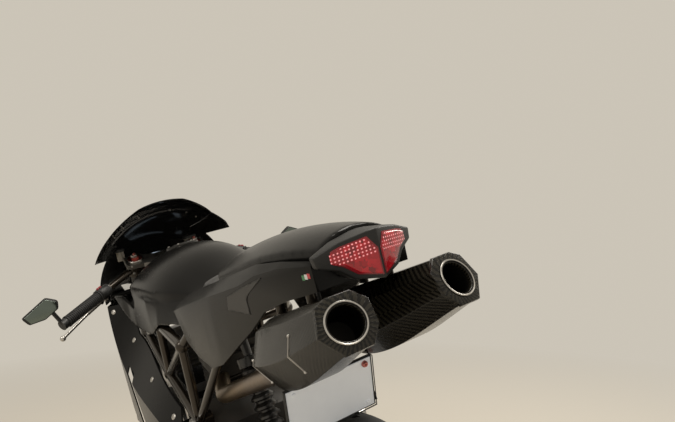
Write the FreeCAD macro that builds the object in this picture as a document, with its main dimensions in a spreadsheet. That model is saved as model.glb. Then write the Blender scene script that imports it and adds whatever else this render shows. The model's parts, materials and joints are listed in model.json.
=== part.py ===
import FreeCAD, Part
import math
import os
import Sketcher

Vector = FreeCAD.Vector
Rotation = FreeCAD.Rotation
Placement = FreeCAD.Placement

# A sport bike that leans on its side stand. Lengths are in millimetres and angles in degrees.
# It is drawn upright, +X forward, +Y to the rider's left and +Z up, with X = 0 midway between
# the axles and the ground at Z = 0. Each finished piece then takes one common placement, which
# leans the bike onto its stand.

doc = FreeCAD.newDocument("SportBike")

# alias, value, what it measures
SIZES = [
    ("wheelbase", 1430, "between the axles"),
    ("rake_angle", 24.5, "steering axis from the vertical"),
    ("trail_length", 97, "steering axis ahead of the front contact"),
    ("lean_angle", 14.8, "lean to the left on the side stand"),
    ("running_gap", 0.05, "radial play of a shaft in its bore"),
    ("side_gap", 0.4, "play beside a turning part"),
    ("panel_gap", 0.4, "joint between two body panels"),
    ("panel_wall", 4, "thickness of a body panel"),
    ("bead_radius", 216, "radius of both rims under the tyre"),
    ("rear_tyre_radius", 315, "outer radius of the rear tyre"),
    ("rear_tyre_width", 190, "width of the rear tyre"),
    ("front_tyre_radius", 300, "outer radius of the front tyre"),
    ("front_tyre_width", 120, "width of the front tyre"),
    ("tyre_wall", 9, "thickness of a tyre's casing"),
    ("rear_rim_width", 152, "between the rear rim's flanges"),
    ("front_rim_width", 89, "between the front rim's flanges"),
    ("flange_height", 12, "rim flange above the bead seat"),
    ("flange_width", 6, "thickness of a rim flange"),
    ("rim_wall", 8, "thickness of the rim's well"),
    ("spoke_count", 5, "forked spokes in each wheel"),
    ("spoke_depth", 26, "thickness of a spoke along the axle"),
    ("front_axle_radius", 12.5, "front axle"),
    ("front_axle_bore", 8, "hollow of the front axle"),
    ("front_hub_radius", 33, "front hub"),
    ("rear_axle_radius", 25, "rear wheel spindle"),
    ("rear_axle_bore", 15, "hollow of the rear spindle"),
    ("rear_hub_radius", 52, "rear hub"),
    ("front_disc_radius", 165, "front brake discs"),
    ("front_disc_inside", 118, "inner radius of the front discs' track"),
    ("disc_thickness", 5, "every brake disc"),
    ("rear_disc_radius", 122, "rear brake disc"),
    ("rear_disc_inside", 84, "inner radius of the rear disc's track"),
    ("pad_gap", 5, "disc to the caliper's slot on each side"),
    ("fork_spacing", 212, "between the fork legs"),
    ("fork_tube_radius", 27, "upper fork tube"),
    ("fork_leg_radius", 21.5, "lower fork leg"),
    ("fork_length", 712, "axle to the top of the fork cap"),
    ("yoke_thickness", 16, "top yoke"),
    ("stem_radius", 15, "steering stem"),
    ("stem_bore", 10, "hollow of the steering stem"),
    ("head_radius", 30, "steering head tube"),
    ("bar_radius", 11, "clip-on bars"),
    ("grip_radius", 17, "rubber grips"),
    ("frame_radius", 15, "main tubes of the trellis"),
    ("brace_radius", 12, "braces of the trellis"),
    ("subframe_radius", 11, "tubes that carry the tail"),
    ("frame_half_width", 150, "centre plane to the side trellis"),
    ("engine_half_width", 118, "centre plane to the crankcase's side"),
    ("cylinder_half_width", 76, "centre plane to a cylinder's side"),
    ("arm_inside", 103, "centre plane to the rear arm's inner face"),
    ("arm_thickness", 36, "rear arm across the bike"),
    ("chain_line", 154, "centre plane to the middle of the chain"),
    ("chain_width", 18, "chain over its pins"),
    ("chain_height", 16, "chain plates"),
    ("front_sprocket_radius", 36, "pitch radius of the front sprocket"),
    ("rear_sprocket_radius", 98, "pitch radius of the rear sprocket"),
    ("stand_radius", 11, "side stand leg"),
    ("stand_bolt_radius", 7, "side stand pivot bolt"),
    ("exhaust_radius", 21, "link pipes to the silencers"),
    ("outlet_radius", 28, "silencer outlet"),
    ("plate_width", 178, "number plate"),
    ("plate_height", 102, "number plate"),
    ("plate_thickness", 2, "number plate"),
]

sheet = doc.addObject("Spreadsheet::Sheet", "Sizes")
for row, (alias, amount, meaning) in enumerate(SIZES, start=1):
    sheet.set("A%d" % row, meaning)
    sheet.set("B%d" % row, str(amount))
    sheet.setAlias("B%d" % row, alias)
doc.recompute()


class Sized:
    """A number, together with the formula on the sheet that gives it."""

    def __init__(self, number, formula=None):
        self.number = float(number)
        self.formula = formula or "(%.6f)" % self.number

    def __float__(self):
        return self.number

    def __add__(self, other):
        return combine(self, "+", other, self.number + float(other))

    def __radd__(self, other):
        return combine(other, "+", self, float(other) + self.number)

    def __sub__(self, other):
        return combine(self, "-", other, self.number - float(other))

    def __rsub__(self, other):
        return combine(other, "-", self, float(other) - self.number)

    def __mul__(self, other):
        return combine(self, "*", other, self.number * float(other))

    def __rmul__(self, other):
        return combine(other, "*", self, float(other) * self.number)

    def __truediv__(self, other):
        return combine(self, "/", other, self.number / float(other))

    def __neg__(self):
        return combine(0, "-", self, -self.number)


def combine(left, sign, right, number):
    """The Sized value of one sum or product."""
    words = [part.formula if isinstance(part, Sized) else "(%.6f)" % part for part in (left, right)]
    return Sized(number, "(%s %s %s)" % (words[0], sign, words[1]))


def size(alias):
    """A driving dimension, with its name on the sheet."""
    return Sized(float(sheet.get(alias)), "Sizes." + alias)


def bind(thing, path, amount):
    """Gives a property its size, by formula where the size has one."""
    if isinstance(amount, Sized):
        thing.setExpression(path, amount.formula)
    else:
        setattr(thing, path, amount)


def origin_feature(body, role):
    """One of a body's own origin planes or axes."""
    return [feature for feature in body.Origin.OriginFeatures if feature.Role == role][0]


def arc_between(start, end, radius):
    """The short arc from start to end. A radius above 0 turns left, one below 0 turns right."""
    chord = end - start
    half = chord.Length / 2
    left = Vector(-chord.y, chord.x, 0).normalize()
    rise = math.sqrt(max(radius * radius - half * half, 0.0))
    centre = (start + end) * 0.5 + left * math.copysign(rise, radius)
    first, last = (start, end) if radius > 0 else (end, start)
    angles = [math.atan2(spot.y - centre.y, spot.x - centre.x) for spot in (first, last)]
    circle = Part.Circle(centre, Vector(0, 0, 1), abs(radius))
    return Part.ArcOfCircle(circle, angles[0], angles[1])


def sketch(body, name, plane, outline, offset=0, circles=()):
    """A closed outline on one of the body's planes, with round holes.

    Each corner is (x, y), or (x, y, radius) where an arc leads on to the next corner.
    Each circle is (x, y, radius).
    """
    flat = body.newObject("Sketcher::SketchObject", name)
    flat.AttachmentSupport = (origin_feature(body, plane), [""])
    flat.MapMode = "FlatFace"
    bind_offset(flat, offset)
    corners = [Vector(float(corner[0]), float(corner[1]), 0) for corner in outline]
    count = len(corners)
    ends = []
    for index, corner in enumerate(outline):
        start, end = corners[index], corners[(index + 1) % count]
        if len(corner) == 3:
            flat.addGeometry(arc_between(start, end, float(corner[2])))
            ends.append((1, 2) if float(corner[2]) > 0 else (2, 1))
        else:
            flat.addGeometry(Part.LineSegment(start, end))
            ends.append((1, 2))
    for index in range(count):
        after = (index + 1) % count
        flat.addConstraint(Sketcher.Constraint("Coincident", index, ends[index][1], after, ends[after][0]))
    for index, corner in enumerate(outline):
        for kind, amount in (("DistanceX", corner[0]), ("DistanceY", corner[1])):
            rule = Sketcher.Constraint(kind, -1, 1, index, ends[index][0], float(amount))
            fix(flat, rule, amount)
        if len(corner) == 3:
            reach = corner[2] if float(corner[2]) > 0 else -1 * corner[2]
            fix(flat, Sketcher.Constraint("Radius", index, float(reach)), reach)
    add_circles(flat, circles)
    return flat


def bind_offset(flat, offset):
    """Moves a sketch along the normal of its plane."""
    flat.AttachmentOffset = Placement(Vector(0, 0, float(offset)), Rotation())
    if isinstance(offset, Sized):
        flat.setExpression("AttachmentOffset.Base.z", offset.formula)


def fix(flat, rule, amount):
    """Adds a dimension to a sketch and ties it to the sheet."""
    number = flat.addConstraint(rule)
    if isinstance(amount, Sized):
        flat.setExpression("Constraints[%d]" % number, amount.formula)


def add_circles(flat, circles):
    """Adds round outlines or holes to a sketch."""
    for across, up, radius in circles:
        centre = Vector(float(across), float(up), 0)
        curve = flat.addGeometry(Part.Circle(centre, Vector(0, 0, 1), float(radius)))
        fix(flat, Sketcher.Constraint("DistanceX", -1, 1, curve, 3, float(across)), across)
        fix(flat, Sketcher.Constraint("DistanceY", -1, 1, curve, 3, float(up)), up)
        fix(flat, Sketcher.Constraint("Radius", curve, float(radius)), radius)


def round_sketch(body, name, plane, circles, offset=0):
    """A sketch of circles alone."""
    flat = body.newObject("Sketcher::SketchObject", name)
    flat.AttachmentSupport = (origin_feature(body, plane), [""])
    flat.MapMode = "FlatFace"
    bind_offset(flat, offset)
    add_circles(flat, circles)
    return flat


def pad(body, flat, length):
    """Pads a sketch along its plane's normal."""
    feature = body.newObject("PartDesign::Pad", flat.Name + "Pad")
    feature.Profile = flat
    bind(feature, "Length", length)
    return feature


def slab(body, name, outline, low, high, circles=()):
    """A plate drawn in side view, (x, z), that lies between two values of y."""
    flat = sketch(body, name, "XZ_Plane", outline, offset=-1 * high, circles=circles)
    return pad(body, flat, high - low)


def deck(body, name, outline, low, high, circles=()):
    """A plate drawn from above, (x, y), that lies between two values of z."""
    flat = sketch(body, name, "XY_Plane", outline, offset=low, circles=circles)
    return pad(body, flat, high - low)


def disc(body, name, circles, low, high):
    """A round plate or ring about the y direction, drawn in side view."""
    flat = round_sketch(body, name, "XZ_Plane", circles, offset=-1 * high)
    return pad(body, flat, high - low)


def turn(body, name, outline, angle=360):
    """A profile of (radius, y) turned about the body's y axis."""
    flat = sketch(body, name, "XY_Plane", outline)
    feature = body.newObject("PartDesign::Revolution", name + "Turn")
    feature.Profile = flat
    feature.ReferenceAxis = (origin_feature(body, "Y_Axis"), [""])
    feature.Angle = angle
    return feature


def polar(body, feature, count):
    """Repeats a feature about the body's y axis."""
    pattern = body.newObject("PartDesign::PolarPattern", feature.Name + "Polar")
    pattern.Originals = [feature]
    pattern.Axis = (origin_feature(body, "Y_Axis"), [""])
    pattern.Angle = 360
    bind(pattern, "Occurrences", count)
    body.Tip = pattern
    return pattern


def new_body(name):
    """An empty body."""
    return doc.addObject("PartDesign::Body", name)


def tube(name, start, end, radius):
    """A straight round bar between two points."""
    start, end = Vector(*start), Vector(*end)
    bar = doc.addObject("Part::Cylinder", name)
    bind(bar, "Radius", radius)
    bar.Height = (end - start).Length
    bar.Placement = Placement(start, Rotation(Vector(0, 0, 1), end - start))
    return bar


def ball(name, centre, radius):
    """A ball, such as the end of a lever."""
    sphere = doc.addObject("Part::Sphere", name)
    bind(sphere, "Radius", radius)
    sphere.Placement = Placement(Vector(*centre), Rotation())
    return sphere


def block(name, low, high):
    """A box between two corners."""
    box = doc.addObject("Part::Box", name)
    for side, (first, last) in zip(("Length", "Width", "Height"), zip(low, high)):
        bind(box, side, last - first)
    box.Placement = Placement(Vector(*[float(first) for first in low]), Rotation())
    return box


def fuse(name, shapes):
    """Several solids made one."""
    union = doc.addObject("Part::MultiFuse", name)
    union.Shapes = shapes
    union.Refine = False
    return union


def cut(name, base, tools):
    """A solid with others taken away."""
    for number, tool in enumerate(tools):
        smaller = doc.addObject("Part::Cut", "%s%d" % (name, number))
        smaller.Base = base
        smaller.Tool = tool
        smaller.Refine = False
        base = smaller
    return base


def common(name, first, second):
    """What two solids share."""
    shared = doc.addObject("Part::Common", name)
    shared.Base = first
    shared.Tool = second
    return shared


def mirrored(name, source):
    """The same shape on the other side of the bike."""
    twin = doc.addObject("Part::Mirroring", name)
    twin.Source = source
    twin.Base = Vector(0, 0, 0)
    twin.Normal = Vector(0, 1, 0)
    return twin


def together(name, shapes):
    """Separate solids kept as one piece."""
    group = doc.addObject("Part::Compound", name)
    group.Links = shapes
    return group


def pair(name, source):
    """A left piece and its mirror image, as one piece."""
    return together(name, [source, mirrored(name + "Right", source)])


# Places that several pieces share

WHEELBASE = float(size("wheelbase"))
RAKE = math.radians(float(size("rake_angle")))
LEAN = math.radians(float(size("lean_angle")))
REAR_CROWN = float(size("rear_tyre_width")) / 2
FRONT_CROWN = float(size("front_tyre_width")) / 2
LIFT = REAR_CROWN * (1 - math.cos(LEAN))

REAR_AXLE = Vector(-WHEELBASE / 2, 0, float(size("rear_tyre_radius")))
FRONT_AXLE = Vector(
    WHEELBASE / 2,
    0,
    float(size("front_tyre_radius")) - FRONT_CROWN + (FRONT_CROWN - LIFT) / math.cos(LEAN),
)
# Distance of the fork legs ahead of the steering axis
FORK_OFFSET = FRONT_AXLE.z * math.sin(RAKE) - float(size("trail_length")) * math.cos(RAKE)
# Fork frame: origin at the front axle, x square to the fork, z up along it
FORK = Placement(FRONT_AXLE, Rotation(Vector(0, 1, 0), -math.degrees(RAKE)))
STANDING = Placement(Vector(0, 0, LIFT), Rotation(Vector(1, 0, 0), -math.degrees(LEAN)))

FORK_SIDE = size("fork_spacing") / 2
FORK_Y = float(FORK_SIDE)
LEG = size("fork_leg_radius")
TUBE = size("fork_tube_radius")
FORK_TOP = size("fork_length")
BOTTOM_YOKE = (440, 472)
TOP_YOKE = (685, 685 + size("yoke_thickness"))
CLAMP = (652, 684)
HEAD_GAP = 5
FOOT_IN = 84
FOOT_OUT = 128

nodes = []
made = {}


def keep(piece, label, place=None):
    """Names a finished piece and leans it with the rest of the bike.

    The upright piece stays free to shape its neighbours, and is returned.
    """
    if place is not None:
        piece.Placement = place.multiply(piece.Placement)
    leaned = together(label, [piece])
    leaned.Label = label
    leaned.Placement = STANDING
    nodes.append(leaned)
    made[label] = piece
    return piece


def in_fork(x, y, z):
    """A point of the fork frame in the bike's frame."""
    return FORK.multVec(Vector(float(x), float(y), float(z)))


# Wheels

def tyre(name, radius, width, rim_width):
    """A hollow casing with a round crown and two beads."""
    body = new_body(name)
    crown = size(width) / 2
    wall = size("tyre_wall")
    bead = size("bead_radius")
    seat = size(rim_width) / 2
    flange = size("flange_height")
    middle = size(radius) - crown
    shoulder_out = 0.2588
    shoulder_side = 0.9659
    inner = crown - wall
    turn(body, name + "Profile", [
        (middle + crown * shoulder_out, -1 * crown * shoulder_side, crown),
        (middle + crown, 0, crown),
        (middle + crown * shoulder_out, crown * shoulder_side),
        (bead + flange + 2, seat),
        (bead, seat),
        (bead, seat - wall),
        (bead + flange, seat - wall),
        (middle + inner * shoulder_out, inner * shoulder_side, -1 * inner),
        (middle + inner, 0, -1 * inner),
        (middle + inner * shoulder_out, -1 * inner * shoulder_side),
        (bead + flange, wall - seat),
        (bead, wall - seat),
        (bead, -1 * seat),
        (bead + flange + 2, -1 * seat),
    ])
    return body


def rim(name, rim_width, hub_radius, bore, hub_low, hub_high, spoke_middle):
    """A cast wheel: barrel, hub and forked spokes, about the y axis."""
    body = new_body(name)
    seat = size(rim_width) / 2
    bead = size("bead_radius")
    tall = size("flange_height")
    thick = size("flange_width")
    wall = size("rim_wall")
    well = 14
    barrel = bead - well - wall
    turn(body, name + "Barrel", [
        (bead + tall, seat),
        (bead + tall, seat + thick),
        (bead - wall, seat + thick),
        (barrel, seat - 26),
        (barrel, 26 - seat),
        (bead - wall, -1 * seat - thick),
        (bead + tall, -1 * seat - thick),
        (bead + tall, -1 * seat),
        (bead, -1 * seat),
        (bead, 12 - seat),
        (bead - well, 28 - seat),
        (bead - well, seat - 28),
        (bead, seat - 12),
        (bead, seat),
    ])
    hub = size(hub_radius)
    turn(body, name + "Hub", [
        (bore, hub_low),
        (hub, hub_low),
        (hub, hub_high),
        (bore, hub_high),
    ])
    depth = size("spoke_depth")
    fork_start = hub + 72
    spoke = slab(body, name + "Spoke", [
        (hub - 3, -20),
        (fork_start, -17),
        (barrel + 2, -52),
        (barrel + 2, -34),
        (fork_start + 26, 0),
        (barrel + 2, 34),
        (barrel + 2, 52),
        (fork_start, 17),
        (hub - 3, 20),
    ], spoke_middle - depth / 2, spoke_middle + depth / 2)
    polar(body, spoke, size("spoke_count"))
    return body


def brake_disc(name, radius, inside, hole, low, arms):
    """A flat track on a carrier of straight arms."""
    body = new_body(name)
    high = low + size("disc_thickness")
    disc(body, name + "Track", [(0, 0, size(radius)), (0, 0, size(inside))], low, high)
    disc(body, name + "Ring", [(0, 0, hole + 12), (0, 0, hole)], low, high)
    arm = slab(body, name + "Arm", [
        (hole + 6, -7),
        (size(inside) + 2, -5),
        (size(inside) + 2, 5),
        (hole + 6, 7),
    ], low, high)
    polar(body, arm, arms)
    return body


FRONT_WHEEL = Placement(FRONT_AXLE, Rotation())
REAR_WHEEL = Placement(REAR_AXLE, Rotation())
FRONT_HUB_END = 64


def front_wheel():
    """The wheel, tyre and discs that turn on the front axle."""
    keep(tyre("FrontTyre", "front_tyre_radius", "front_tyre_width", "front_rim_width"),
         "front_tyre", FRONT_WHEEL)
    bore = size("front_axle_radius") + size("running_gap")
    wheel = rim("FrontRim", "front_rim_width", "front_hub_radius", bore,
                -FRONT_HUB_END, FRONT_HUB_END, 0)
    for side in (-1, 1):
        ends = sorted((side * (FRONT_HUB_END - 8), side * FRONT_HUB_END))
        disc(wheel, "DiscSeat%d" % (side + 1), [(0, 0, 58), (0, 0, size("front_hub_radius") - 2)], *ends)
    keep(wheel, "front_rim", FRONT_WHEEL)
    left = brake_disc("FrontDisc", "front_disc_radius", "front_disc_inside", 44, FRONT_HUB_END, 10)
    keep(pair("FrontDiscs", left), "front_discs", FRONT_WHEEL)


HUB_LEFT = 34
HUB_RIGHT = -74
REAR_DISC_LOW = 44
ARM_HUB_LOW = 60


def rear_wheel():
    """The wheel, tyre, spindle, disc and sprocket that turn together."""
    keep(tyre("RearTyre", "rear_tyre_radius", "rear_tyre_width", "rear_rim_width"),
         "rear_tyre", REAR_WHEEL)
    spindle = size("rear_axle_radius")
    keep(rim("RearRim", "rear_rim_width", "rear_hub_radius", spindle,
             HUB_RIGHT, HUB_LEFT, -40), "rear_rim", REAR_WHEEL)
    body = new_body("RearAxle")
    bore = size("rear_axle_bore")
    sprocket_out = size("chain_line") + 4
    turn(body, "Spindle", [
        (bore, HUB_RIGHT - 22),
        (40, HUB_RIGHT - 22),
        (44, HUB_RIGHT),
        (spindle, HUB_RIGHT),
        (spindle, HUB_LEFT),
        (46, HUB_LEFT),
        (46, REAR_DISC_LOW),
        (spindle, REAR_DISC_LOW),
        (spindle, sprocket_out),
        (36, sprocket_out),
        (32, sprocket_out + 16),
        (bore, sprocket_out + 16),
    ])
    keep(body, "rear_axle", REAR_WHEEL)
    keep(brake_disc("RearDisc", "rear_disc_radius", "rear_disc_inside", spindle, REAR_DISC_LOW, 6),
         "rear_disc", REAR_WHEEL)
    keep(sprocket(), "rear_sprocket", REAR_WHEEL)


def sprocket():
    """A toothed ring on a carrier, just inside the chain."""
    body = new_body("RearSprocket")
    middle = size("chain_line")
    low, high = middle - 4, middle + 4
    root = size("rear_sprocket_radius") - size("chain_height") / 2 - 9
    disc(body, "SprocketRing", [(0, 0, root), (0, 0, root - 16)], low, high)
    disc(body, "SprocketCentre", [(0, 0, 44), (0, 0, size("rear_axle_radius"))], low, high)
    arm = slab(body, "SprocketArm", [
        (40, -9),
        (root - 14, -7),
        (root - 14, 7),
        (40, 9),
    ], low, high)
    polar(body, arm, 5)
    tooth = slab(body, "SprocketTooth", [
        (root - 2, -3.5),
        (root + 4, -1.2),
        (root + 4, 1.2),
        (root - 2, 3.5),
    ], low + 1, high - 1)
    polar(body, tooth, 36)
    return body


# Steering

BAR_START = Vector(352, 253, 861)
BAR_END = Vector(285, 369, 822)


def along_bar(distance):
    """A point of the left bar, at a distance inboard of its end."""
    way = (BAR_START - BAR_END).normalize()
    return BAR_END + way * distance


def fork_legs():
    """Two upside-down fork legs with their axle feet and caliper lugs."""
    legs = []
    pieces = [
        tube("LowerLeg", (0, FORK_Y, 0), (0, FORK_Y, 300), LEG),
        tube("UpperTube", (0, FORK_Y, 280), (0, FORK_Y, 700), TUBE),
        tube("AxleFoot", (0, FOOT_IN, 0), (0, FOOT_OUT, 0), 30),
        block("CaliperLug", (-66, 91, 84), (0, 108, 156)),
    ]
    leg = fuse("LeftLegWhole", pieces)
    bore = tube("LegAxleBore", (0, 60, 0), (0, 140, 0), size("front_axle_radius") + size("running_gap"))
    leg = cut("LeftLeg", leg, [bore])
    legs = pair("ForkLegs", leg)
    keep(legs, "fork_legs", FORK)
    cap = new_body("ForkCap")
    deck(cap, "CapSkirt", ring_corners(0, FORK_SIDE, TUBE - 3, 16), 700, 706)
    deck(cap, "CapNut", ring_corners(0, FORK_SIDE, 13, 6), 706, FORK_TOP)
    keep(pair("ForkCaps", cap), "fork_caps", FORK)


def ring_corners(x, y, radius, count):
    """Corners of a regular outline about a point."""
    corners = []
    for number in range(count):
        angle = 2 * math.pi * number / count
        corners.append((x + radius * math.cos(angle), y + radius * math.sin(angle)))
    return corners


def yoke(name, low, high, reach):
    """A plate that clamps both legs and the stem. reach is its half depth at the legs."""
    body = new_body(name)
    out = FORK_SIDE + TUBE + 6
    deck(body, name + "Plan", [
        (-1 * reach, -1 * out),
        (reach, -1 * out),
        (reach + 4, -1 * FORK_SIDE + 8),
        (8, -40),
        (8, 40),
        (reach + 4, FORK_SIDE - 8),
        (reach, out),
        (-1 * reach, out),
        (-1 * reach - 8, FORK_SIDE - 20),
        (-1 * FORK_OFFSET - 30, 34),
        (-1 * FORK_OFFSET - 30, -34),
        (-1 * reach - 8, 20 - FORK_SIDE),
    ], low, high, circles=[
        (0, FORK_SIDE, TUBE),
        (0, -1 * FORK_SIDE, TUBE),
        (-FORK_OFFSET, 0, size("stem_radius")),
    ])
    return body


def yokes():
    """Top yoke, bottom yoke and the hollow stem that joins them."""
    keep(yoke("TopYoke", TOP_YOKE[0], TOP_YOKE[1], 31), "top_yoke", FORK)
    keep(yoke("BottomYoke", BOTTOM_YOKE[0], BOTTOM_YOKE[1], 33), "bottom_yoke", FORK)
    stem = new_body("Stem")
    top = TOP_YOKE[1] + 10
    flat = sketch(stem, "StemProfile", "XZ_Plane", [
        (size("stem_bore"), BOTTOM_YOKE[0] - 6),
        (size("stem_radius") + 4, BOTTOM_YOKE[0] - 6),
        (size("stem_radius") + 4, BOTTOM_YOKE[0]),
        (size("stem_radius"), BOTTOM_YOKE[0]),
        (size("stem_radius"), TOP_YOKE[1]),
        (size("stem_radius") + 6, TOP_YOKE[1]),
        (size("stem_radius") + 6, top),
        (size("stem_bore"), top),
    ])
    feature = stem.newObject("PartDesign::Revolution", "StemTurn")
    feature.Profile = flat
    feature.ReferenceAxis = (origin_feature(stem, "Z_Axis"), [""])
    feature.Angle = 360
    stem.Placement = Placement(Vector(-FORK_OFFSET, 0, 0), Rotation())
    keep(stem, "steering_stem", FORK)


def clip_ons():
    """Bars that clamp the fork tubes, with their grips."""
    bar = tube("Bar", along_bar(306), along_bar(2), size("bar_radius"))
    ring = doc.addObject("Part::Cylinder", "BarClamp")
    bind(ring, "Radius", TUBE + 8)
    ring.Height = CLAMP[1] - CLAMP[0]
    ring.Placement = FORK.multiply(Placement(Vector(0, FORK_Y, CLAMP[0]), Rotation()))
    leg = doc.addObject("Part::Cylinder", "BarClampBore")
    bind(leg, "Radius", TUBE)
    leg.Height = 200
    leg.Placement = FORK.multiply(Placement(Vector(0, FORK_Y, CLAMP[0] - 100), Rotation()))
    made["clamp"] = ring
    keep(pair("ClipOns", cut("ClipOn", fuse("ClipOnWhole", [bar, ring]), [leg])), "clip_ons")
    length = (BAR_START - BAR_END).Length
    sleeve = tube("GripSleeve", along_bar(2), along_bar(length), size("grip_radius"))
    core = tube("GripCore", along_bar(-10), along_bar(length + 10), size("bar_radius") + size("running_gap"))
    keep(pair("Grips", cut("Grip", sleeve, [core])), "grips")


LEVER_PIVOT = Vector(404, 232, 842)
LEVER_KNEE = Vector(392, 296, 812)
LEVER_BALL = Vector(345, 387, 768)


def levers():
    """Lever perches with a bent blade and a ball end."""
    perch_in, perch_out = along_bar(180), along_bar(146)
    perch = tube("Perch", perch_in, perch_out, size("bar_radius") + 8)
    arm = tube("PerchArm", (perch_in + perch_out) * 0.5, LEVER_PIVOT, 9)
    pivot = ball("LeverPivot", LEVER_PIVOT, 11)
    near = tube("LeverNear", LEVER_PIVOT, LEVER_KNEE, 6)
    knee = ball("LeverKnee", LEVER_KNEE, 6)
    far = tube("LeverFar", LEVER_KNEE, LEVER_BALL, 5)
    end = ball("LeverBall", LEVER_BALL, 9)
    whole = fuse("LeverWhole", [perch, arm, pivot, near, knee, far, end])
    core = tube("PerchCore", along_bar(120), along_bar(300), size("bar_radius") + size("running_gap"))
    keep(pair("Levers", cut("Lever", whole, [core])), "levers")


# side, centre of the foot, radius, height
RESERVOIRS = [
    (1, (472, 140, 940), 14, 34),
    (-1, (503, -113, 905), 22, 50),
]


def reservoirs():
    """Fluid cups on brackets from the bars' clamps."""
    clamps = {1: made["clamp"], -1: mirrored("ClampRight", made["clamp"])}
    cups = []
    for side, foot, radius, height in RESERVOIRS:
        base = Vector(*foot)
        top = base + Vector(0, 0, height)
        name = "Cup%d" % (side + 1)
        cup = tube(name, base, top, radius)
        lid = tube(name + "Lid", top, top + Vector(0, 0, 5), radius + 2)
        bracket = tube(name + "Bracket", in_fork(20, side * (FORK_Y + 6), 668), base + Vector(0, 0, 8), 5)
        cups.append(cut(name + "Whole", fuse(name + "All", [cup, lid, bracket]), [clamps[side]]))
    keep(together("Reservoirs", cups), "fluid_reservoirs")


MIRROR_CORNERS = [(478, 874), (406, 913), (376, 896), (380, 872), (420, 852), (463, 850)]


def mirrors():
    """Bar-end mirrors: a weight in the bar's end, a stalk and a teardrop head."""
    body = new_body("MirrorHead")
    flat = sketch(body, "MirrorOutline", "YZ_Plane", [(float(y), float(z)) for y, z in MIRROR_CORNERS[::-1]], offset=262)
    pad(body, flat, 12)
    weight = tube("BarWeight", along_bar(2), along_bar(-16), size("grip_radius") - 1)
    stalk = tube("MirrorStalk", along_bar(-10), (268, 398, 868), 6)
    keep(pair("Mirrors", fuse("Mirror", [weight, stalk, body])), "bar_end_mirrors")


def front_mudguard():
    """A U-shaped guard over the front tyre, carried by the fork legs."""
    body = new_body("Mudguard")
    inside = size("front_tyre_radius") + 8
    side = size("front_tyre_width") / 2 + 6
    skirt = 34
    thick = 3
    flat = sketch(body, "MudguardSection", "XY_Plane", [
        (inside + thick, -1 * side - thick),
        (inside + thick, side + thick),
        (inside - skirt, side + thick),
        (inside - skirt, side),
        (inside, side),
        (inside, -1 * side),
        (inside - skirt, -1 * side),
        (inside - skirt, -1 * side - thick),
    ])
    feature = body.newObject("PartDesign::Revolution", "MudguardTurn")
    feature.Profile = flat
    feature.ReferenceAxis = (origin_feature(body, "Y_Axis"), [""])
    feature.Angle = 140
    body.Placement = Placement(FRONT_AXLE, Rotation(Vector(0, 1, 0), -175))
    arm_in = in_fork(0, float(side) + 1, 288)
    arm_out = in_fork(0, FORK_Y, 288)
    arms = [tube("MudguardArm", arm_in, arm_out, 11)]
    arms.append(mirrored("MudguardArmRight", arms[0]))
    leg = doc.addObject("Part::Cylinder", "MudguardLegClear")
    bind(leg, "Radius", TUBE)
    leg.Height = 200
    leg.Placement = FORK.multiply(Placement(Vector(0, FORK_Y, 200), Rotation()))
    leg_right = mirrored("MudguardLegClearRight", leg)
    keep(cut("MudguardCut", fuse("MudguardWhole", [body] + arms), [leg, leg_right]), "front_mudguard")


def polar_spot(radius, angle):
    """A point of a side view, from its radius and its angle above the forward direction."""
    turned = math.radians(angle)
    return (radius * math.cos(turned), radius * math.sin(turned))


def sector(inner, outer, first, last):
    """Corners of a piece of a ring between two angles."""
    return [
        polar_spot(outer, first) + (outer,),
        polar_spot(outer, last),
        polar_spot(inner, last) + (-1 * inner,),
        polar_spot(inner, first),
    ]


def caliper(name, disc_radius, disc_low, inner, low, high, first, last):
    """A caliper round the edge of a disc, with a slot for the disc."""
    body = new_body(name)
    gap = size("pad_gap")
    slot_high = disc_low + size("disc_thickness") + gap
    slab(body, name + "Block", sector(inner, disc_radius + gap + 16, first, last), low, high)
    slot = sketch(body, name + "Slot", "XZ_Plane", sector(inner - 12, disc_radius + gap, first - 8, last + 8),
                  offset=-1 * slot_high)
    pocket = body.newObject("PartDesign::Pocket", name + "SlotCut")
    pocket.Profile = slot
    bind(pocket, "Length", size("disc_thickness") + 2 * gap)
    pocket.Reversed = True
    return body


def front_calipers():
    """Four-piston calipers behind the fork legs."""
    body = caliper("FrontCaliper", size("front_disc_radius"), FRONT_HUB_END, 112, 48, 91, 112, 148)
    keep(pair("FrontCalipers", body), "front_calipers", FORK)


def front_axle():
    """The hollow front axle with its spacers."""
    body = new_body("FrontAxle")
    bore = size("front_axle_bore")
    radius = size("front_axle_radius")
    spacer = FRONT_HUB_END + size("side_gap")
    turn(body, "AxleProfile", [
        (bore, -134),
        (20, -134),
        (20, -1 * FOOT_OUT),
        (radius, -1 * FOOT_OUT),
        (radius, -1 * FOOT_IN),
        (19, -1 * FOOT_IN),
        (19, -1 * spacer),
        (radius, -1 * spacer),
        (radius, spacer),
        (19, spacer),
        (19, FOOT_IN),
        (radius, FOOT_IN),
        (radius, FOOT_OUT),
        (20, FOOT_OUT),
        (20, 134),
        (bore, 134),
    ])
    keep(body, "front_axle", FRONT_WHEEL)


# Frame and engine

HEAD_LOW = BOTTOM_YOKE[1] + HEAD_GAP
HEAD_HIGH = TOP_YOKE[0] - HEAD_GAP
SIDE = float(size("frame_half_width"))
HEAD_UPPER = in_fork(-FORK_OFFSET - 18, 16, HEAD_HIGH - 26)
HEAD_LOWER = in_fork(-FORK_OFFSET - 18, 16, HEAD_LOW + 26)
UPPER = [Vector(300, SIDE - 8, 800), Vector(60, SIDE, 772), Vector(-170, SIDE, 742)]
LOWER = [Vector(322, SIDE - 8, 700), Vector(90, SIDE, 612), Vector(-140, SIDE, 528)]


frame_pieces = {}


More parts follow.
